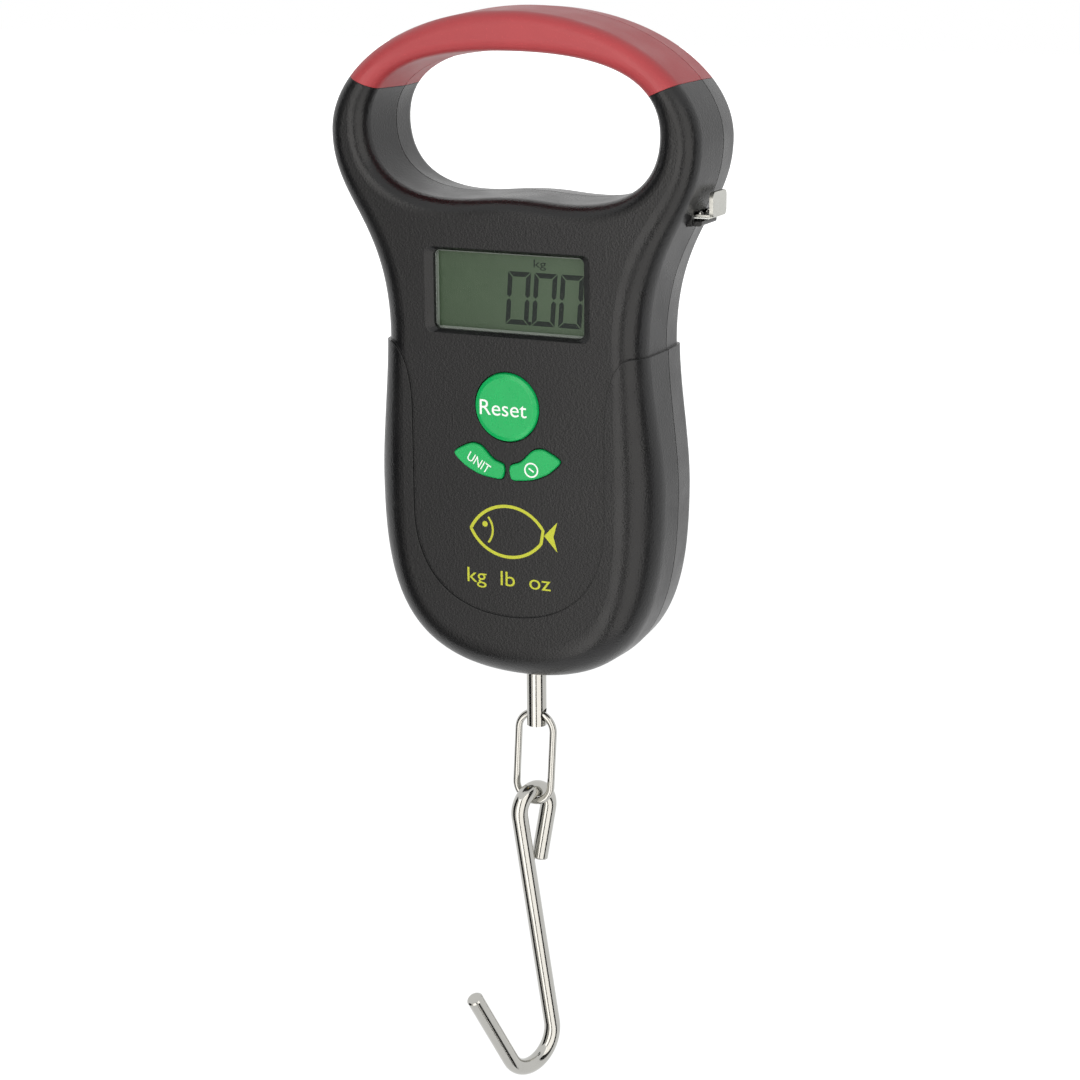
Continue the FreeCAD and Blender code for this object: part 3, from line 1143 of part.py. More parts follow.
def hook_spine():
    """The hook's centre line in its own plane: tail, upper loop, shank, lower bend and point."""
    loop, bend = size("hook_loop"), size("hook_bend")
    wire, link = size("hook_wire"), size("link_wire")
    top = V(0, 0, PIVOT.z + link + wire + size("hook_seat") - loop)
    low = V(size("hook_bend_forward"), 0, -size("hook_bend_drop"))
    across = low - top
    lean = math.asin((loop + bend) / across.Length) - math.atan2(across.x, -across.z)
    side = V(math.cos(lean), 0, -math.sin(lean))
    leave, meet = top + side * loop, low - side * bend
    tail_lean = math.radians(size("hook_tail_lean"))
    tail_side = V(-math.cos(tail_lean), 0, -math.sin(tail_lean))
    tail_start = top + tail_side * loop
    tail_end = tail_start + V(math.sin(tail_lean), 0, -math.cos(tail_lean)) * size("hook_tail")
    tip_lean = math.radians(size("hook_tip_lean"))
    tip_side = V(math.cos(tip_lean), 0, -math.sin(tip_lean))
    tip_start = low + tip_side * bend
    tip_end = tip_start + V(math.sin(tip_lean), 0, math.cos(tip_lean)) * size("hook_tip")
    return [Part.LineSegment(tail_end, tail_start).toShape(),
            Part.Arc(tail_start, top + V(0, 0, loop), leave).toShape(),
            Part.LineSegment(leave, meet).toShape(),
            Part.Arc(meet, low - V(0, 0, bend), tip_start).toShape(),
            Part.LineSegment(tip_start, tip_end).toShape()]


def add_hook():
    shape = pipe(hook_spine(), size("hook_wire"))
    ends = [edge for edge in shape.Edges if edge.Closed and edge.Curve.TypeId == "Part::GeomCircle"
            and any(abs(face.Area - math.pi * size("hook_wire") ** 2) < 0.01
                    for face in shape.ancestorsOfType(edge, Part.Face))]
    if ends:
        shape = shape.makeChamfer(size("hook_chamfer"), ends)
    hook = solid("Hook", shape)
    yaw = FreeCAD.Rotation(V(0, 0, 1), -90 - size("hook_yaw"))
    hook.Placement = FreeCAD.Placement(V(PIVOT.x, 0, 0), yaw)
    return node("hook", hook)


# ---------------------------------------------------------------- case screws
def add_case_screws():
    head_low = REAR_FACE - 3.0
    screws = []
    for x, z in CASE_SCREWS:
        head = post(x, z, (head_low, head_low + 1.7), size("case_head_radius"))
        shank = post(x, z, (-size("shallow_depth") + 1.0, head_low), size("case_screw_radius") - 0.05)
        screws.append(cross_slot(head.fuse(shank), V(x, head_low + 1.7, z), V(0, -1, 0), 3.0, 0.9))
    node("case_screws", solid("CaseScrews", Part.makeCompound(screws)))


add_front_case()
add_rear_case()
add_grips()
add_display()
add_board()
add_reset_button()
add_wing_buttons()
add_tape()
add_bracket()
add_batteries()
add_door()
add_load_cell()
add_anchor()
add_shaft()
add_link()
add_hook()
add_case_screws()
doc.recompute()

for thing in doc.Objects:
    if "Invalid" in thing.State or "Error" in thing.State:
        raise RuntimeError(f"{thing.Name} did not recompute: {thing.State}")
os.makedirs("parts", exist_ok=True)
for name, thing in nodes.items():
    shape = thing.Shape
    if shape.isNull() or not shape.isValid():
        raise RuntimeError(f"{name} has no valid shape")
    shape.exportStep(os.path.join("parts", name + ".step"))
    print(name, len(shape.Solids), round(shape.Volume, 1))
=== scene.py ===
"""Digital fish scale with a loop handle, a pull-out tape, a link and a hook.

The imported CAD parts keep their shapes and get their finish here. The display digits, the key legends,
the prints and the tape's markings are separate pieces that lie on them. Lengths are in metres.
"""

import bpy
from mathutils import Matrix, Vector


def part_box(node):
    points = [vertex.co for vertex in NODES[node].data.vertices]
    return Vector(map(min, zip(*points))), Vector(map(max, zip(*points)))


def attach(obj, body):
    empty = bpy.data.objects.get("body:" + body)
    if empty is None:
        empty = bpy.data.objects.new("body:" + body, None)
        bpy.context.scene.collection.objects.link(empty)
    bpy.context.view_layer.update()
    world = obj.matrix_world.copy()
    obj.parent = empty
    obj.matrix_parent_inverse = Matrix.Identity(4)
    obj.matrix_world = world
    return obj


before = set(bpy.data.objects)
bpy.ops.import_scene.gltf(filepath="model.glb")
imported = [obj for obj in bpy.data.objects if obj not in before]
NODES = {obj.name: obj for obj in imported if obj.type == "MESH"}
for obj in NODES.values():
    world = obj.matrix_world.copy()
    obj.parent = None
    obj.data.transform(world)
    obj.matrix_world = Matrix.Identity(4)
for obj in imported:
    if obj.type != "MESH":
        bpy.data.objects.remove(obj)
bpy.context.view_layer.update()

import math

import bmesh
import bpy
from mathutils import Euler, Matrix, Vector

MM = 0.001
SCENE = bpy.context.scene


# ---------------------------------------------------------------- colours and shader nodes


def colour(red, green, blue):
    """A colour written as screen values from 0 to 255, turned into the linear values that shaders use."""
    linear = []
    for value in (red, green, blue):
        share = value / 255
        linear.append(share / 12.92 if share <= 0.04045 else ((share + 0.055) / 1.055) ** 2.4)
    return (*linear, 1.0)


def tinted(base, factor):
    """The same colour, lighter or darker by a factor."""
    return (*(channel * factor for channel in base[:3]), 1.0)


# a Mix node's colour sockets, by their place among all its sockets
MIX_FIRST = 6
MIX_SECOND = 7
MIX_RESULT = 2


class Shader:
    """A material on one Principled BSDF, with short calls for the nodes that feed it."""

    def __init__(self, name):
        self.material = bpy.data.materials.new(name)
        self.material.use_nodes = True
        self.tree = self.material.node_tree
        self.surface = self.tree.nodes["Principled BSDF"]
        self.coordinates = self.add("ShaderNodeTexCoord").outputs["Object"]

    def add(self, kind, **settings):
        node = self.tree.nodes.new(kind)
        for key, value in settings.items():
            setattr(node, key, value)
        return node

    def link(self, output, target):
        self.tree.links.new(output, target)

    def feed(self, socket, value):
        """Gives a socket an earlier output, or a plain value."""
        if isinstance(value, bpy.types.NodeSocket):
            self.link(value, socket)
        else:
            socket.default_value = value

    def calculated(self, operation, *values):
        """One step of arithmetic on outputs or plain numbers."""
        node = self.add("ShaderNodeMath", operation=operation)
        for socket, value in zip(node.inputs, values):
            self.feed(socket, value)
        return node.outputs["Value"]

    def along(self, letter):
        """The place along one axis of the object's own coordinates."""
        axes = self.add("ShaderNodeSeparateXYZ")
        self.link(self.coordinates, axes.inputs["Vector"])
        return axes.outputs[letter]

    def stretched(self, scale):
        """The object's own coordinates, multiplied along each axis."""
        mapping = self.add("ShaderNodeMapping")
        mapping.inputs["Scale"].default_value = scale
        self.link(self.coordinates, mapping.inputs["Vector"])
        return mapping.outputs["Vector"]

    def noise(self, size, detail=3.0, vector=None):
        """Noise whose grains are about size across."""
        node = self.add("ShaderNodeTexNoise")
        node.inputs["Scale"].default_value = 1 / size
        node.inputs["Detail"].default_value = detail
        self.link(vector or self.coordinates, node.inputs["Vector"])
        return node.outputs["Fac"]

    def cells(self, size, **settings):
        """The distance from the middle of cells that are about size across."""
        node = self.add("ShaderNodeTexVoronoi", **settings)
        node.inputs["Scale"].default_value = 1 / size
        self.link(self.coordinates, node.inputs["Vector"])
        return node.outputs["Distance"]

    def between(self, value, low, high, start=0.3, end=0.7):
        """A value from start to end mapped to low and high."""
        node = self.add("ShaderNodeMapRange")
        node.inputs["From Min"].default_value = start
        node.inputs["From Max"].default_value = end
        node.inputs["To Min"].default_value = low
        node.inputs["To Max"].default_value = high
        self.link(value, node.inputs["Value"])
        return node.outputs["Result"]

    def blended(self, value, low, high):
        """Two colours mixed by a value. Each may also be an earlier output."""
        node = self.add("ShaderNodeMix", data_type="RGBA")
        self.link(value, node.inputs["Factor"])
        self.feed(node.inputs[MIX_FIRST], low)
        self.feed(node.inputs[MIX_SECOND], high)
        return node.outputs[MIX_RESULT]

    def bump(self, height, depth, below=None):
        """Relief of a real depth, on top of an earlier relief."""
        node = self.add("ShaderNodeBump")
        node.inputs["Strength"].default_value = 1.0
        node.inputs["Distance"].default_value = depth
        self.link(height, node.inputs["Height"])
        if below:
            self.link(below, node.inputs["Normal"])
        return node.outputs["Normal"]

    def soft_edges(self, radius):
        """Normals that round each edge off, as a moulded edge is rounded."""
        node = self.add("ShaderNodeBevel")
        node.inputs["Radius"].default_value = radius
        return node.outputs["Normal"]

    def finish(self, base=None, roughness=None, normal=None, **values):
        """Feeds the surface, and sets its other sockets, whose names have _ for each space."""
        for socket, output in (("Base Color", base), ("Roughness", roughness), ("Normal", normal)):
            if output is not None:
                self.link(output, self.surface.inputs[socket])
        for key, value in values.items():
            self.surface.inputs[key.replace("_", " ")].default_value = value
        return self.material

    def show_either(self, share, first, second):
        """Shows the first surface where share is 0, the second where it is 1, and a mix between."""
        either = self.add("ShaderNodeMixShader")
        self.link(share, either.inputs["Fac"])
        self.link(first, either.inputs[1])
        self.link(second, either.inputs[2])
        self.link(either.outputs["Shader"], self.tree.nodes["Material Output"].inputs["Surface"])


# ---------------------------------------------------------------- materials

LENS_BORDER = 2.5 * MM  # the window's hidden flange and the bevel in front of it
BAND_START = 9 * MM  # where a cell's copper band begins along X
BLACK = colour(19, 19, 20)
NICKEL = colour(186, 185, 180)


def moulded_plastic(name, base, rough, grain, relief, spread=0.1, edge=0.3 * MM, **values):
    """Moulded plastic with a fine eroded texture, faint clouding, rubbed patches and hairline scuffs."""
    shader = Shader(name)
    clouds = shader.between(shader.noise(22 * MM), 0, 1)
    tone = shader.blended(clouds, tinted(base, 1 - spread), tinted(base, 1 + spread))
    specks = shader.between(shader.noise(grain * 1.6, detail=2), 0, 1, 0.62, 0.78)
    tone = shader.blended(shader.between(specks, 0, 0.35, 0, 1), tone, tinted(base, 1.6))
    rubbed = shader.between(shader.noise(9 * MM, detail=5), rough - 0.05, rough + 0.06)
    texture = shader.bump(shader.cells(grain, feature="SMOOTH_F1"), relief, shader.soft_edges(edge))
    texture = shader.bump(shader.noise(grain * 0.7, detail=2), relief * 0.6, texture)
    scuffs = shader.noise(1.2 * MM, detail=4, vector=shader.stretched((1.0, 1.0, 0.12)))
    scuffs = shader.between(scuffs, 0, 1, 0.66, 0.72)
    texture = shader.bump(scuffs, relief * 0.25, texture)
    return shader.finish(tone, rubbed, texture, **values)


def smooth_plastic(name, base, rough):
    """Satin moulded plastic with soft edges and the faintest ripple."""
    shader = Shader(name)
    tone = shader.blended(shader.noise(4 * MM), tinted(base, 0.95), tinted(base, 1.05))
    gloss = shader.between(shader.noise(1.5 * MM, detail=4), rough - 0.06, rough + 0.06)
    ripple = shader.bump(shader.noise(0.5 * MM, detail=2), 0.004 * MM, shader.soft_edges(0.25 * MM))
    return shader.finish(tone, gloss, ripple)


def metal(name, base, rough, stretch=(1, 1, 1), grain=0.3 * MM, relief=0.002 * MM):
    """Plated or ground metal: tone and gloss drift a little, with fine lines along the working direction."""
    shader = Shader(name)
    tone = shader.blended(shader.noise(5 * MM, detail=4), tinted(base, 0.94), tinted(base, 1.06))
    fine = shader.noise(grain, detail=3, vector=shader.stretched(stretch))
    gloss = shader.between(fine, rough * 0.7, rough * 1.4)
    lines = shader.bump(fine, relief)
    return shader.finish(tone, gloss, lines, Metallic=1.0)


def flat_print(name, base, rough=0.5):
    """Screen-printed ink: slightly uneven cover and a dry surface."""
    shader = Shader(name)
    tone = shader.blended(shader.noise(0.6 * MM, detail=4), tinted(base, 0.9), tinted(base, 1.06))
    gloss = shader.between(shader.noise(0.4 * MM), rough - 0.08, rough + 0.08)
    return shader.finish(tone, gloss, shader.bump(shader.noise(0.15 * MM), 0.003 * MM))


def near_rim(shader, low, high, border, width):
    """1 in a border just inside a box's edges across X and Z, and 0 in the middle."""
    inside = []
    for letter, start, end in (("X", low.x, high.x), ("Z", low.z, high.z)):
        from_middle = shader.calculated("SUBTRACT", shader.along(letter), (start + end) / 2)
        reach = shader.calculated("ABSOLUTE", from_middle)
        inside.append(shader.calculated("SUBTRACT", reach, (end - start) / 2 - border))
    return shader.between(shader.calculated("MAXIMUM", *inside), 0, 1, -width, 0)


def clear_plastic(name):
    """The clear display window: light passes straight through, a low gloss grows towards glancing
    angles, and a pale painted highlight lies along the bevelled edge, where less light passes through."""
    shader = Shader(name)
    low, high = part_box("lcd_lens")
    # the thin band along the bevelled edge where a highlight is painted
    painted_edge_highlight = near_rim(shader, low, high, LENS_BORDER, 0.05 * MM)
    haze = shader.between(shader.noise(3 * MM), 0.0, 0.06)
    tone = shader.blended(haze, colour(30, 34, 32), colour(60, 64, 60))
    # painted highlight: a pale colour in the edge band stands in for light that the clear edge catches
    tone = shader.blended(painted_edge_highlight, tone, colour(188, 194, 188))
    gloss = shader.between(shader.noise(1 * MM, detail=4), 0.05, 0.12)
    shader.finish(tone, gloss, shader.soft_edges(0.15 * MM))
    window = shader.add("ShaderNodeBsdfTransparent")
    window.inputs["Color"].default_value = (0.93, 0.96, 0.93, 1)
    facing = shader.add("ShaderNodeLayerWeight")
    facing.inputs["Blend"].default_value = 0.25
    glancing = shader.calculated("POWER", facing.outputs["Facing"], 2.6)
    # the painted edge highlight also makes the window less clear in that band
    share = shader.calculated("MAXIMUM", glancing, shader.between(painted_edge_highlight, 0.02, 0.42, 0, 1))
    shader.show_either(share, window.outputs["BSDF"], shader.surface.outputs["BSDF"])
    return shader.material


def display_glass(name):
    """The liquid crystal cell: grey-green, a little darker towards its left side, with a silky polariser."""
    shader = Shader(name)
    low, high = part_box("lcd_panel")
    drift = shader.between(shader.along("X"), 0, 1, low.x, high.x)
    tone = shader.blended(drift, colour(62, 78, 58), colour(76, 90, 72))
    mottle = shader.between(shader.noise(2.5 * MM, detail=4), 0.0, 0.1)
    tone = shader.blended(mottle, tone, colour(84, 98, 76))
    gloss = shader.between(shader.noise(0.8 * MM), 0.3, 0.42)
    return shader.finish(tone, gloss, shader.bump(shader.noise(0.1 * MM), 0.001 * MM))


def circuit_laminate(name):
    """Green solder mask over copper tracks."""
    shader = Shader(name)
    tracks = shader.between(shader.cells(2.2 * MM, distance="CHEBYCHEV"), 0, 1, 0.42, 0.46)
    tone = shader.blended(tracks, colour(12, 96, 52), colour(28, 128, 70))
    gloss = shader.between(shader.noise(0.6 * MM), 0.25, 0.4)
    return shader.finish(tone, gloss, shader.bump(tracks, 0.03 * MM))


def battery_film(name):
    """Dark shrink film with a broad copper band at one end, as plain cells have."""
    shader = Shader(name)
    band = shader.between(shader.along("X"), 0, 1, BAND_START, BAND_START + 0.2 * MM)
    tone = shader.blended(band, colour(38, 42, 50), colour(176, 112, 62))
    gloss = shader.between(shader.noise(1 * MM, detail=4), 0.18, 0.3)
    return shader.finish(tone, gloss, shader.bump(shader.noise(1.4 * MM), 0.01 * MM))


MATERIALS = {
    "black_plastic": moulded_plastic("black_plastic", BLACK, 0.29, 0.45 * MM, 0.04 * MM, edge=0.35 * MM,
                                     Specular_IOR_Level=0.42),
    "red_plastic": moulded_plastic("red_plastic", colour(172, 62, 66), 0.42, 0.3 * MM, 0.02 * MM, 0.05),
    "green_plastic": smooth_plastic("green_plastic", colour(4, 171, 88), 0.3),
    "clear_lens": clear_plastic("clear_lens"),
    "lcd_glass": display_glass("lcd_glass"),
    "rubber": moulded_plastic("rubber", colour(34, 34, 34), 0.7, 0.4 * MM, 0.02 * MM),
    "circuit_board": circuit_laminate("circuit_board"),
    "plated_steel": metal("plated_steel", NICKEL, 0.12),
    "screw_steel": metal("screw_steel", colour(170, 172, 176), 0.3),
    "spring_steel": metal("spring_steel", colour(112, 116, 128), 0.28, (1, 1, 0.1)),
    "tape_paint": smooth_plastic("tape_paint", colour(232, 234, 228), 0.4),
    "battery_jacket": battery_film("battery_jacket"),
    "aluminium": metal("aluminium", colour(205, 207, 210), 0.34, (1, 1, 0.08), 0.2 * MM, 0.004 * MM),
    "gauge_foil": smooth_plastic("gauge_foil", colour(206, 140, 62), 0.35),
    "brass": metal("brass", colour(206, 172, 92), 0.25),
}
TAB_STEEL = metal("tab_steel", colour(196, 196, 190), 0.34, (1, 0.06, 1), 0.15 * MM, 0.003 * MM)
WHITE_INK = flat_print("white_ink", colour(242, 244, 240), 0.45)
LIME_INK = flat_print("lime_ink", colour(188, 192, 42))
DIGIT_INK = flat_print("digit_ink", colour(12, 20, 22))
MARK_INK = flat_print("mark_ink", colour(24, 24, 26))
NUMBER_INK = flat_print("number_ink", colour(180, 30, 30))


def dress_cad_nodes():
    """Each CAD node gets the finish of the slot that it was packed with."""
    for node in NODES.values():
        for index, packed in enumerate(node.data.materials):
            node.data.materials[index] = MATERIALS[packed.name]
    NODES["tape_hook"].data.materials[0] = TAB_STEEL
    lens = NODES["lcd_lens"]
    lens.visible_shadow = False
    lens.visible_diffuse = False


# ---------------------------------------------------------------- flat pieces that lie on the parts

PRINT = 0.02 * MM  # thickness of ink
FACE = -14.8 * MM  # the flat front of the case
CAPITAL = 0.69  # height of a capital of the built-in font at size 1


def place(piece, body, material):
    """A finished piece: its material and the body that it rides on."""
    piece.data.materials.append(material)
    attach(piece, body)


def linked(name, data):
    """A new object of the scene that shows the data."""
    made = bpy.data.objects.new(name, data)
    SCENE.collection.objects.link(made)
    return made


def sheet_of_faces(name, faces, front):
    """A plate as thin as ink, facing -Y. Each face is a list of (x, z) points."""
    mesh = bmesh.new()
    for outline in faces:
        area = sum(a[0] * b[1] - b[0] * a[1] for a, b in zip(outline, outline[1:] + outline[:1]))
        ordered = outline if area > 0 else outline[::-1]
        mesh.faces.new([mesh.verts.new((x, front, z)) for x, z in ordered])
    bmesh.ops.remove_doubles(mesh, verts=mesh.verts, dist=1e-7)
    made = bmesh.ops.extrude_face_region(mesh, geom=list(mesh.faces))
    moved = [item for item in made["geom"] if isinstance(item, bmesh.types.BMVert)]
    bmesh.ops.translate(mesh, verts=moved, vec=(0, PRINT, 0))
    bmesh.ops.recalc_face_normals(mesh, faces=mesh.faces)
    data = bpy.data.meshes.new(name)
    mesh.to_mesh(data)
    mesh.free()
    return linked(name, data)


def stroke(points, width, closed=False):
    """The faces of a line of even width through the points."""
    count = len(points)
    pairs = []
    for index, point in enumerate(points):
        before = points[(index - 1) % count] if closed or index else point
        after = points[(index + 1) % count] if closed or index < count - 1 else point
        forward = (Vector(after) - Vector(before)).normalized()
        side = Vector((-forward.y, forward.x)) * (width / 2)
        pairs.append((tuple(Vector(point) + side), tuple(Vector(point) - side)))
    if closed:
        pairs.append(pairs[0])
    return [[a[0], b[0], b[1], a[1]] for a, b in zip(pairs, pairs[1:])]


def arc(centre, radius, start, end, steps):
    """Points along an arc, with angles in degrees from +X towards +Z."""
    found = []
    for step in range(steps + 1):
        angle = math.radians(start + (end - start) * step / steps)
        found.append((centre[0] + radius * math.cos(angle), centre[1] + radius * math.sin(angle)))
    return found


def lettering(name, words, height, spot, front, turn=0.0, width=None):
    """Generic words with capitals of a given height, centred on a spot, facing -Y."""
    curve = bpy.data.curves.new(name, "FONT")
    curve.body = words
    curve.extrude = PRINT / 2
    curve.resolution_u = 6
    text = linked(name + "_text", curve)
    bpy.context.view_layer.update()
    data = bpy.data.meshes.new_from_object(text.evaluated_get(bpy.context.evaluated_depsgraph_get()))
    data.name = name
    bpy.data.objects.remove(text)
    xs = [vertex.co.x for vertex in data.vertices]
    grow = height / CAPITAL
    across = grow if width is None else width / (max(xs) - min(xs))
    centre = Vector(((max(xs) + min(xs)) / 2, CAPITAL / 2, 0))
    flat = Matrix.Diagonal((across, grow, 1, 1)) @ Matrix.Translation(-centre)
    upright = Euler((math.radians(90), 0, 0)).to_matrix().to_4x4()
    turned = Euler((0, -math.radians(turn), 0)).to_matrix().to_4x4()
    moved = Matrix.Translation((spot[0], front, spot[1]))
    data.transform(moved @ turned @ upright @ flat)
    return linked(name, data)


# ---------------------------------------------------------------- the display

DIGIT_TALL = 12.2 * MM
DIGIT_WIDE = 5.75 * MM
DIGIT_PITCH = 6.62 * MM
DIGIT_LEFT = -1.7 * MM  # left side of the first digit
DIGIT_RISE = 4.0 * MM  # from the bottom of the window's flange to the foot of the digits
DIGIT_LEAN = math.tan(math.radians(4))
SEGMENT = 1.3 * MM  # thickness of a bar
SEGMENT_GAP = 0.14 * MM
POINT_RADIUS = 0.45 * MM  # the decimal point
POINT_SHIFT = 0.5 * MM  # how far the point stands left of the second digit
UNIT_PLACE = (7.1 * MM, 7.0 * MM)  # of "kg", from the display's middle
UNIT_TALL = 1.8 * MM
UNIT_WIDE = 3.1 * MM


def zero_digit(left, bottom):
    """The six outer bars of a seven-bar digit, mitred at the corners and leaning a little to the right."""
    wide, tall, bar, gap = DIGIT_WIDE, DIGIT_TALL, SEGMENT, SEGMENT_GAP
    half = tall / 2
    slant = bar - gap
    flat = [(gap, 0), (wide - gap, 0), (wide - bar - gap / 2, slant), (bar + gap / 2, slant)]
    post = [(0, gap), (bar - gap, bar + gap / 2), (bar - gap, half - bar / 2 - gap), (bar / 2, half - gap),
            (0, half - bar / 2)]
    bars = []
    for up in (False, True):
        bars.append([(x, tall - z if up else z) for x, z in flat])
        for right in (False, True):
            bars.append([(wide - x if right else x, tall - z if up else z) for x, z in post])
    return [[(left + x + z * DIGIT_LEAN, bottom + z) for x, z in bar_points] for bar_points in bars]


def add_display():
    """0.00 kg on the cell, right of its middle."""
    low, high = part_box("lcd_panel")
    front = low.y - PRINT
    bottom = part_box("lcd_lens")[0].z + DIGIT_RISE
    faces = []
    for index in range(3):
        faces += zero_digit(DIGIT_LEFT + index * DIGIT_PITCH, bottom)
    point = (DIGIT_LEFT + DIGIT_PITCH - POINT_SHIFT, bottom + POINT_RADIUS)
    faces.append(arc(point, POINT_RADIUS, 0, 337.5, 15))
    place(sheet_of_faces("display_digits", faces, front), "case", DIGIT_INK)
    spot = (UNIT_PLACE[0], (low.z + high.z) / 2 + UNIT_PLACE[1])
    unit = lettering("display_unit", "kg", UNIT_TALL, spot, front, width=UNIT_WIDE)
    place(unit, "case", DIGIT_INK)


# ---------------------------------------------------------------- legends on the keys

RESET_TALL = 3.55 * MM
RESET_WIDE = 11.95 * MM
RESET_SHIFT = (-0.6 * MM, -0.15 * MM)  # from the middle of the round key
UNIT_KEY_TALL = 2.2 * MM
UNIT_KEY_WIDE = 6.2 * MM
UNIT_KEY_SPOT = (-7.0 * MM, -93.1 * MM)
UNIT_KEY_TURN = -31
POWER_SPOT = (6.43 * MM, -93.65 * MM)
POWER_RADIUS = 1.6 * MM
POWER_BAR = 0.77 * MM  # half the length of the bar inside the ring
POWER_LEAN = math.radians(58.3)
POWER_LINE = 0.36 * MM


def key_front(key):
    """How far forward the front of a key lies."""
    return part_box(key)[0].y


def add_key_legends():
    """The words and the sign that tell the keys apart."""
    low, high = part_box("reset_button")
    spot = ((low.x + high.x) / 2 + RESET_SHIFT[0], (low.z + high.z) / 2 + RESET_SHIFT[1])
    front = key_front("reset_button") - PRINT / 2
    reset = lettering("reset_legend", "Reset", RESET_TALL, spot, front, width=RESET_WIDE)
    place(reset, "reset_key", WHITE_INK)

    front = key_front("unit_button") - PRINT / 2
    unit = lettering("unit_legend", "UNIT", UNIT_KEY_TALL, UNIT_KEY_SPOT, front, UNIT_KEY_TURN, UNIT_KEY_WIDE)
    place(unit, "unit_key", WHITE_INK)

    tip = Vector((-math.sin(POWER_LEAN), math.cos(POWER_LEAN))) * POWER_BAR
    bar = [tuple(Vector(POWER_SPOT) + tip), tuple(Vector(POWER_SPOT) - tip)]
    ring = arc(POWER_SPOT, POWER_RADIUS, 0, 352.5, 47)
    faces = stroke(ring, POWER_LINE, closed=True) + stroke(bar, POWER_LINE)
    power = sheet_of_faces("power_legend", faces, key_front("power_button") - PRINT)
    place(power, "power_key", WHITE_INK)


# ---------------------------------------------------------------- prints on the case

FISH_SPOT = Vector((0, -109.2 * MM))
FISH_LINE = 0.75 * MM
FLANK_RADIUS = 10.7 * MM  # the body's outline is two arcs that meet at the nose
FLANK_CENTRE = 4.6 * MM  # how far their centres lie above and below the middle
GILL_LINE = 0.5 * MM
UNITS_SPOT = (0, -120.6 * MM)
UNITS_TALL = 3.5 * MM
UNITS_WIDE = 21.6 * MM


def on_fish(points):
    """Points given from the fish's middle, moved to its place on the case."""
    return [tuple(FISH_SPOT + Vector(point)) for point in points]


def add_front_print():
    """A plain fish sign, and the units that the scale shows."""
    back = arc((0, -FLANK_CENTRE), FLANK_RADIUS, 154, 33, 24)
    belly = arc((0, FLANK_CENTRE), FLANK_RADIUS, -33, -154, 24)
    tail = [(9.2 * MM, 0), (12.6 * MM, 3.6 * MM), (11.6 * MM, 0), (12.6 * MM, -3.6 * MM)]
    eye = arc((-6.0 * MM, 1.3 * MM), 0.7 * MM, 0, 330, 11)
    gill = arc((-8.6 * MM, 0), 4.6 * MM, -42, 42, 12)
    faces = stroke(on_fish(back + belly[1:]), FISH_LINE, closed=True)
    faces += [on_fish(tail), on_fish(eye)]
    faces += stroke(on_fish(gill), GILL_LINE)
    place(sheet_of_faces("fish_sign", faces, FACE - PRINT), "case", LIME_INK)
    front = FACE - PRINT / 2
    units = lettering("unit_list", "kg  lb  oz", UNITS_TALL, UNITS_SPOT, front, width=UNITS_WIDE)
    place(units, "case", LIME_INK)


# ---------------------------------------------------------------- marks on the tape

TAPE_START = 6 * MM  # from the outer end of the blade to the tape's zero
TAPE_MARKS = 32
MARK_EDGE = 0.1 * MM  # bare strip between the blade's edge and the lines
MARK_LINE = 0.14 * MM
MARK_REACH = {10: 4.2 * MM, 5: 3.0 * MM, 1: 2.0 * MM}  # how far a line reaches at each multiple
NUMBER_TALL = 2.2 * MM
NUMBER_SHIFT = 1.1 * MM  # from a centimetre's line to the middle of its number
NUMBER_LEVEL = 1.7 * MM


def laid_flat(piece, level):
    """Turns a piece that faces -Y so that it faces +Z at a level."""
    piece.data.transform(Matrix.Translation((0, 0, level)) @ Matrix.Rotation(math.radians(-90), 4, "X"))
    return piece


def add_tape_marks():
    """A line each millimetre, longer at 5 and 10, and a number each centimetre."""
    low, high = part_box("tape_blade")
    lines = []
    numbers = []
    for step in range(1, TAPE_MARKS + 1):
        x = high.x - TAPE_START - step * MM
        reach = next(length for multiple, length in MARK_REACH.items() if step % multiple == 0)
        lines += stroke([(x, low.y + MARK_EDGE), (x, low.y + reach)], MARK_LINE)
        if step % 10 == 0:
            number = step // 10
            spot = (x - NUMBER_SHIFT, NUMBER_LEVEL)
            numbers.append(lettering(f"tape_number_{number}", str(number), NUMBER_TALL, spot, -PRINT / 2))
    marks = sheet_of_faces("tape_lines", lines, -PRINT)
    place(laid_flat(marks, high.z), "tape", MARK_INK)
    for number in numbers:
        place(laid_flat(number, high.z), "tape", NUMBER_INK)


# ---------------------------------------------------------------- studio

# the camera looks at AIM from DISTANCE, turned to the object's right and raised, in degrees
AIM = Vector((0, 0.0025, -0.1155))
DISTANCE = 0.576
YAW = 25.26
PITCH = 15.33
ROLL = -0.40
LENS = 80.08

FLOOR = -0.42
FLOOR_HALF = 6.0
FLOOR_GLOW = 1.45
LIGHT_TALL = 1.9
LIGHT_MIDDLE = -0.42
LIGHT_TINT = (1.0, 0.975, 0.945)
WORLD_TINT = (0.93, 0.96, 1.0, 1)
WORLD_LEVEL = 0.38


def add_camera():
    data = bpy.data.cameras.new("camera")
    data.lens = LENS
    data.sensor_width = 36
    data.clip_start = 0.01
    data.clip_end = 50
    camera = linked("camera", data)
    turn = Matrix.Rotation(math.radians(YAW), 4, "Z")
    tilt = Matrix.Rotation(math.radians(90 - PITCH), 4, "X")
    roll = Matrix.Rotation(math.radians(ROLL), 4, "Z")
    back = Matrix.Translation((0, 0, DISTANCE))
    camera.matrix_world = Matrix.Translation(AIM) @ turn @ tilt @ roll @ back
    SCENE.camera = camera


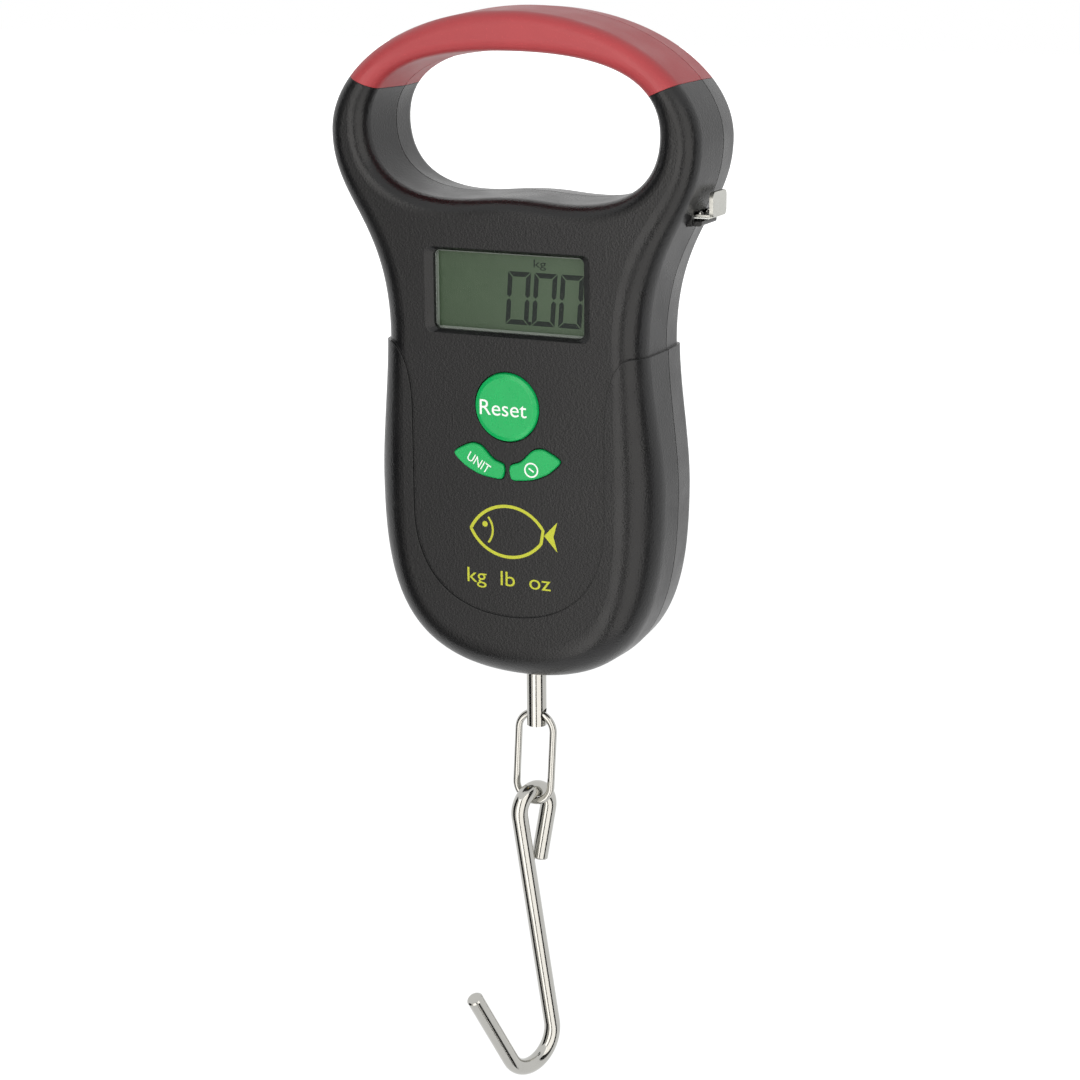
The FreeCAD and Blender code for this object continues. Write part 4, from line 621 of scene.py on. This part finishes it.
def softbox(name, azimuth, distance, width, brightness):
    """A tall soft light facing the object. Azimuth 0 is straight in front, and 90 is at its right."""
    data = bpy.data.lights.new(name, "AREA")
    data.shape = "RECTANGLE"
    data.size = width
    data.size_y = LIGHT_TALL
    data.energy = brightness * math.pi * width * LIGHT_TALL
    data.color = LIGHT_TINT
    light = linked(name, data)
    angle = math.radians(azimuth)
    light.location = (distance * math.sin(angle), -distance * math.cos(angle), LIGHT_MIDDLE)
    light.rotation_euler = (math.radians(90), 0, angle)
    light.visible_camera = False


def dark_curtain(name, start, end, distance, low, high):
    """A black curtain round the front that only mirror-like surfaces see, between and behind the lights."""
    steps = 24
    corners = []
    for step in range(steps + 1):
        angle = math.radians(start + (end - start) * step / steps)
        for level in (low, high):
            corners.append((distance * math.sin(angle), -distance * math.cos(angle), level))
    faces = [(2 * step, 2 * step + 2, 2 * step + 3, 2 * step + 1) for step in range(steps)]
    data = bpy.data.meshes.new(name)
    data.from_pydata(corners, [], faces)
    data.materials.append(Shader(name).finish(Base_Color=(0.01, 0.01, 0.01, 1), Roughness=1.0))
    curtain = linked(name, data)
    for rays in ("camera", "diffuse", "shadow", "transmission", "volume_scatter"):
        setattr(curtain, "visible_" + rays, False)


def seen_rays(tree):
    """1 for rays that see the background directly, in a mirror or through glass, and 0 for the rest."""
    path = tree.nodes.new("ShaderNodeLightPath")
    total = path.outputs["Is Camera Ray"]
    for ray in ("Is Glossy Ray", "Is Transmission Ray"):
        either = tree.nodes.new("ShaderNodeMath")
        either.operation = "MAXIMUM"
        tree.links.new(total, either.inputs[0])
        tree.links.new(path.outputs[ray], either.inputs[1])
        total = either.outputs[0]
    return total


def add_world():
    """Even light from all round, with a white background for the rays that see it."""
    world = bpy.data.worlds.new("studio")
    world.use_nodes = True
    SCENE.world = world
    tree = world.node_tree
    plain = tree.nodes["Background"]
    plain.inputs["Color"].default_value = WORLD_TINT
    plain.inputs["Strength"].default_value = WORLD_LEVEL
    white = tree.nodes.new("ShaderNodeBackground")
    white.inputs["Color"].default_value = (1, 1, 1, 1)
    either = tree.nodes.new("ShaderNodeMixShader")
    tree.links.new(seen_rays(tree), either.inputs["Fac"])
    tree.links.new(plain.outputs[0], either.inputs[1])
    tree.links.new(white.outputs[0], either.inputs[2])
    tree.links.new(either.outputs[0], tree.nodes["World Output"].inputs["Surface"])


def add_floor():
    """A plain pale floor that keeps the object's shadow near its middle and fades to white further out."""
    half = FLOOR_HALF
    corners = [(-half, -half, 0), (half, -half, 0), (half, half, 0), (-half, half, 0)]
    data = bpy.data.meshes.new("floor")
    data.from_pydata(corners, [], [(0, 1, 2, 3)])
    floor = linked("floor", data)
    floor.location = (0, 0, FLOOR)
    shader = Shader("floor")
    shader.finish(Base_Color=(0.86, 0.86, 0.86, 1), Roughness=0.9, Specular_IOR_Level=0.0)
    glow = shader.add("ShaderNodeEmission")
    glow.inputs["Strength"].default_value = FLOOR_GLOW
    reach = shader.add("ShaderNodeVectorMath", operation="LENGTH")
    shader.link(shader.coordinates, reach.inputs[0])
    fade = shader.between(reach.outputs["Value"], 0.62, 1.0, 0.7, 2.0)
    share = shader.calculated("MULTIPLY", seen_rays(shader.tree), fade)
    shader.show_either(share, shader.surface.outputs["BSDF"], glow.outputs["Emission"])
    data.materials.append(shader.material)
    floor.visible_glossy = False


def add_studio():
    SCENE.view_settings.view_transform = "Standard"
    add_world()
    add_floor()
    softbox("left_softbox", azimuth=-4, distance=0.85, width=0.50, brightness=2.3)
    softbox("far_left_softbox", azimuth=-31, distance=0.86, width=0.30, brightness=0.8)
    softbox("right_softbox", azimuth=50, distance=0.85, width=0.81, brightness=1.8)
    dark_curtain("curtain", start=-76, end=96, distance=1.0, low=-1.7, high=0.55)


dress_cad_nodes()
add_display()
add_key_legends()
add_front_print()
add_tape_marks()
add_camera()
add_studio()

bpy.context.view_layer.update()
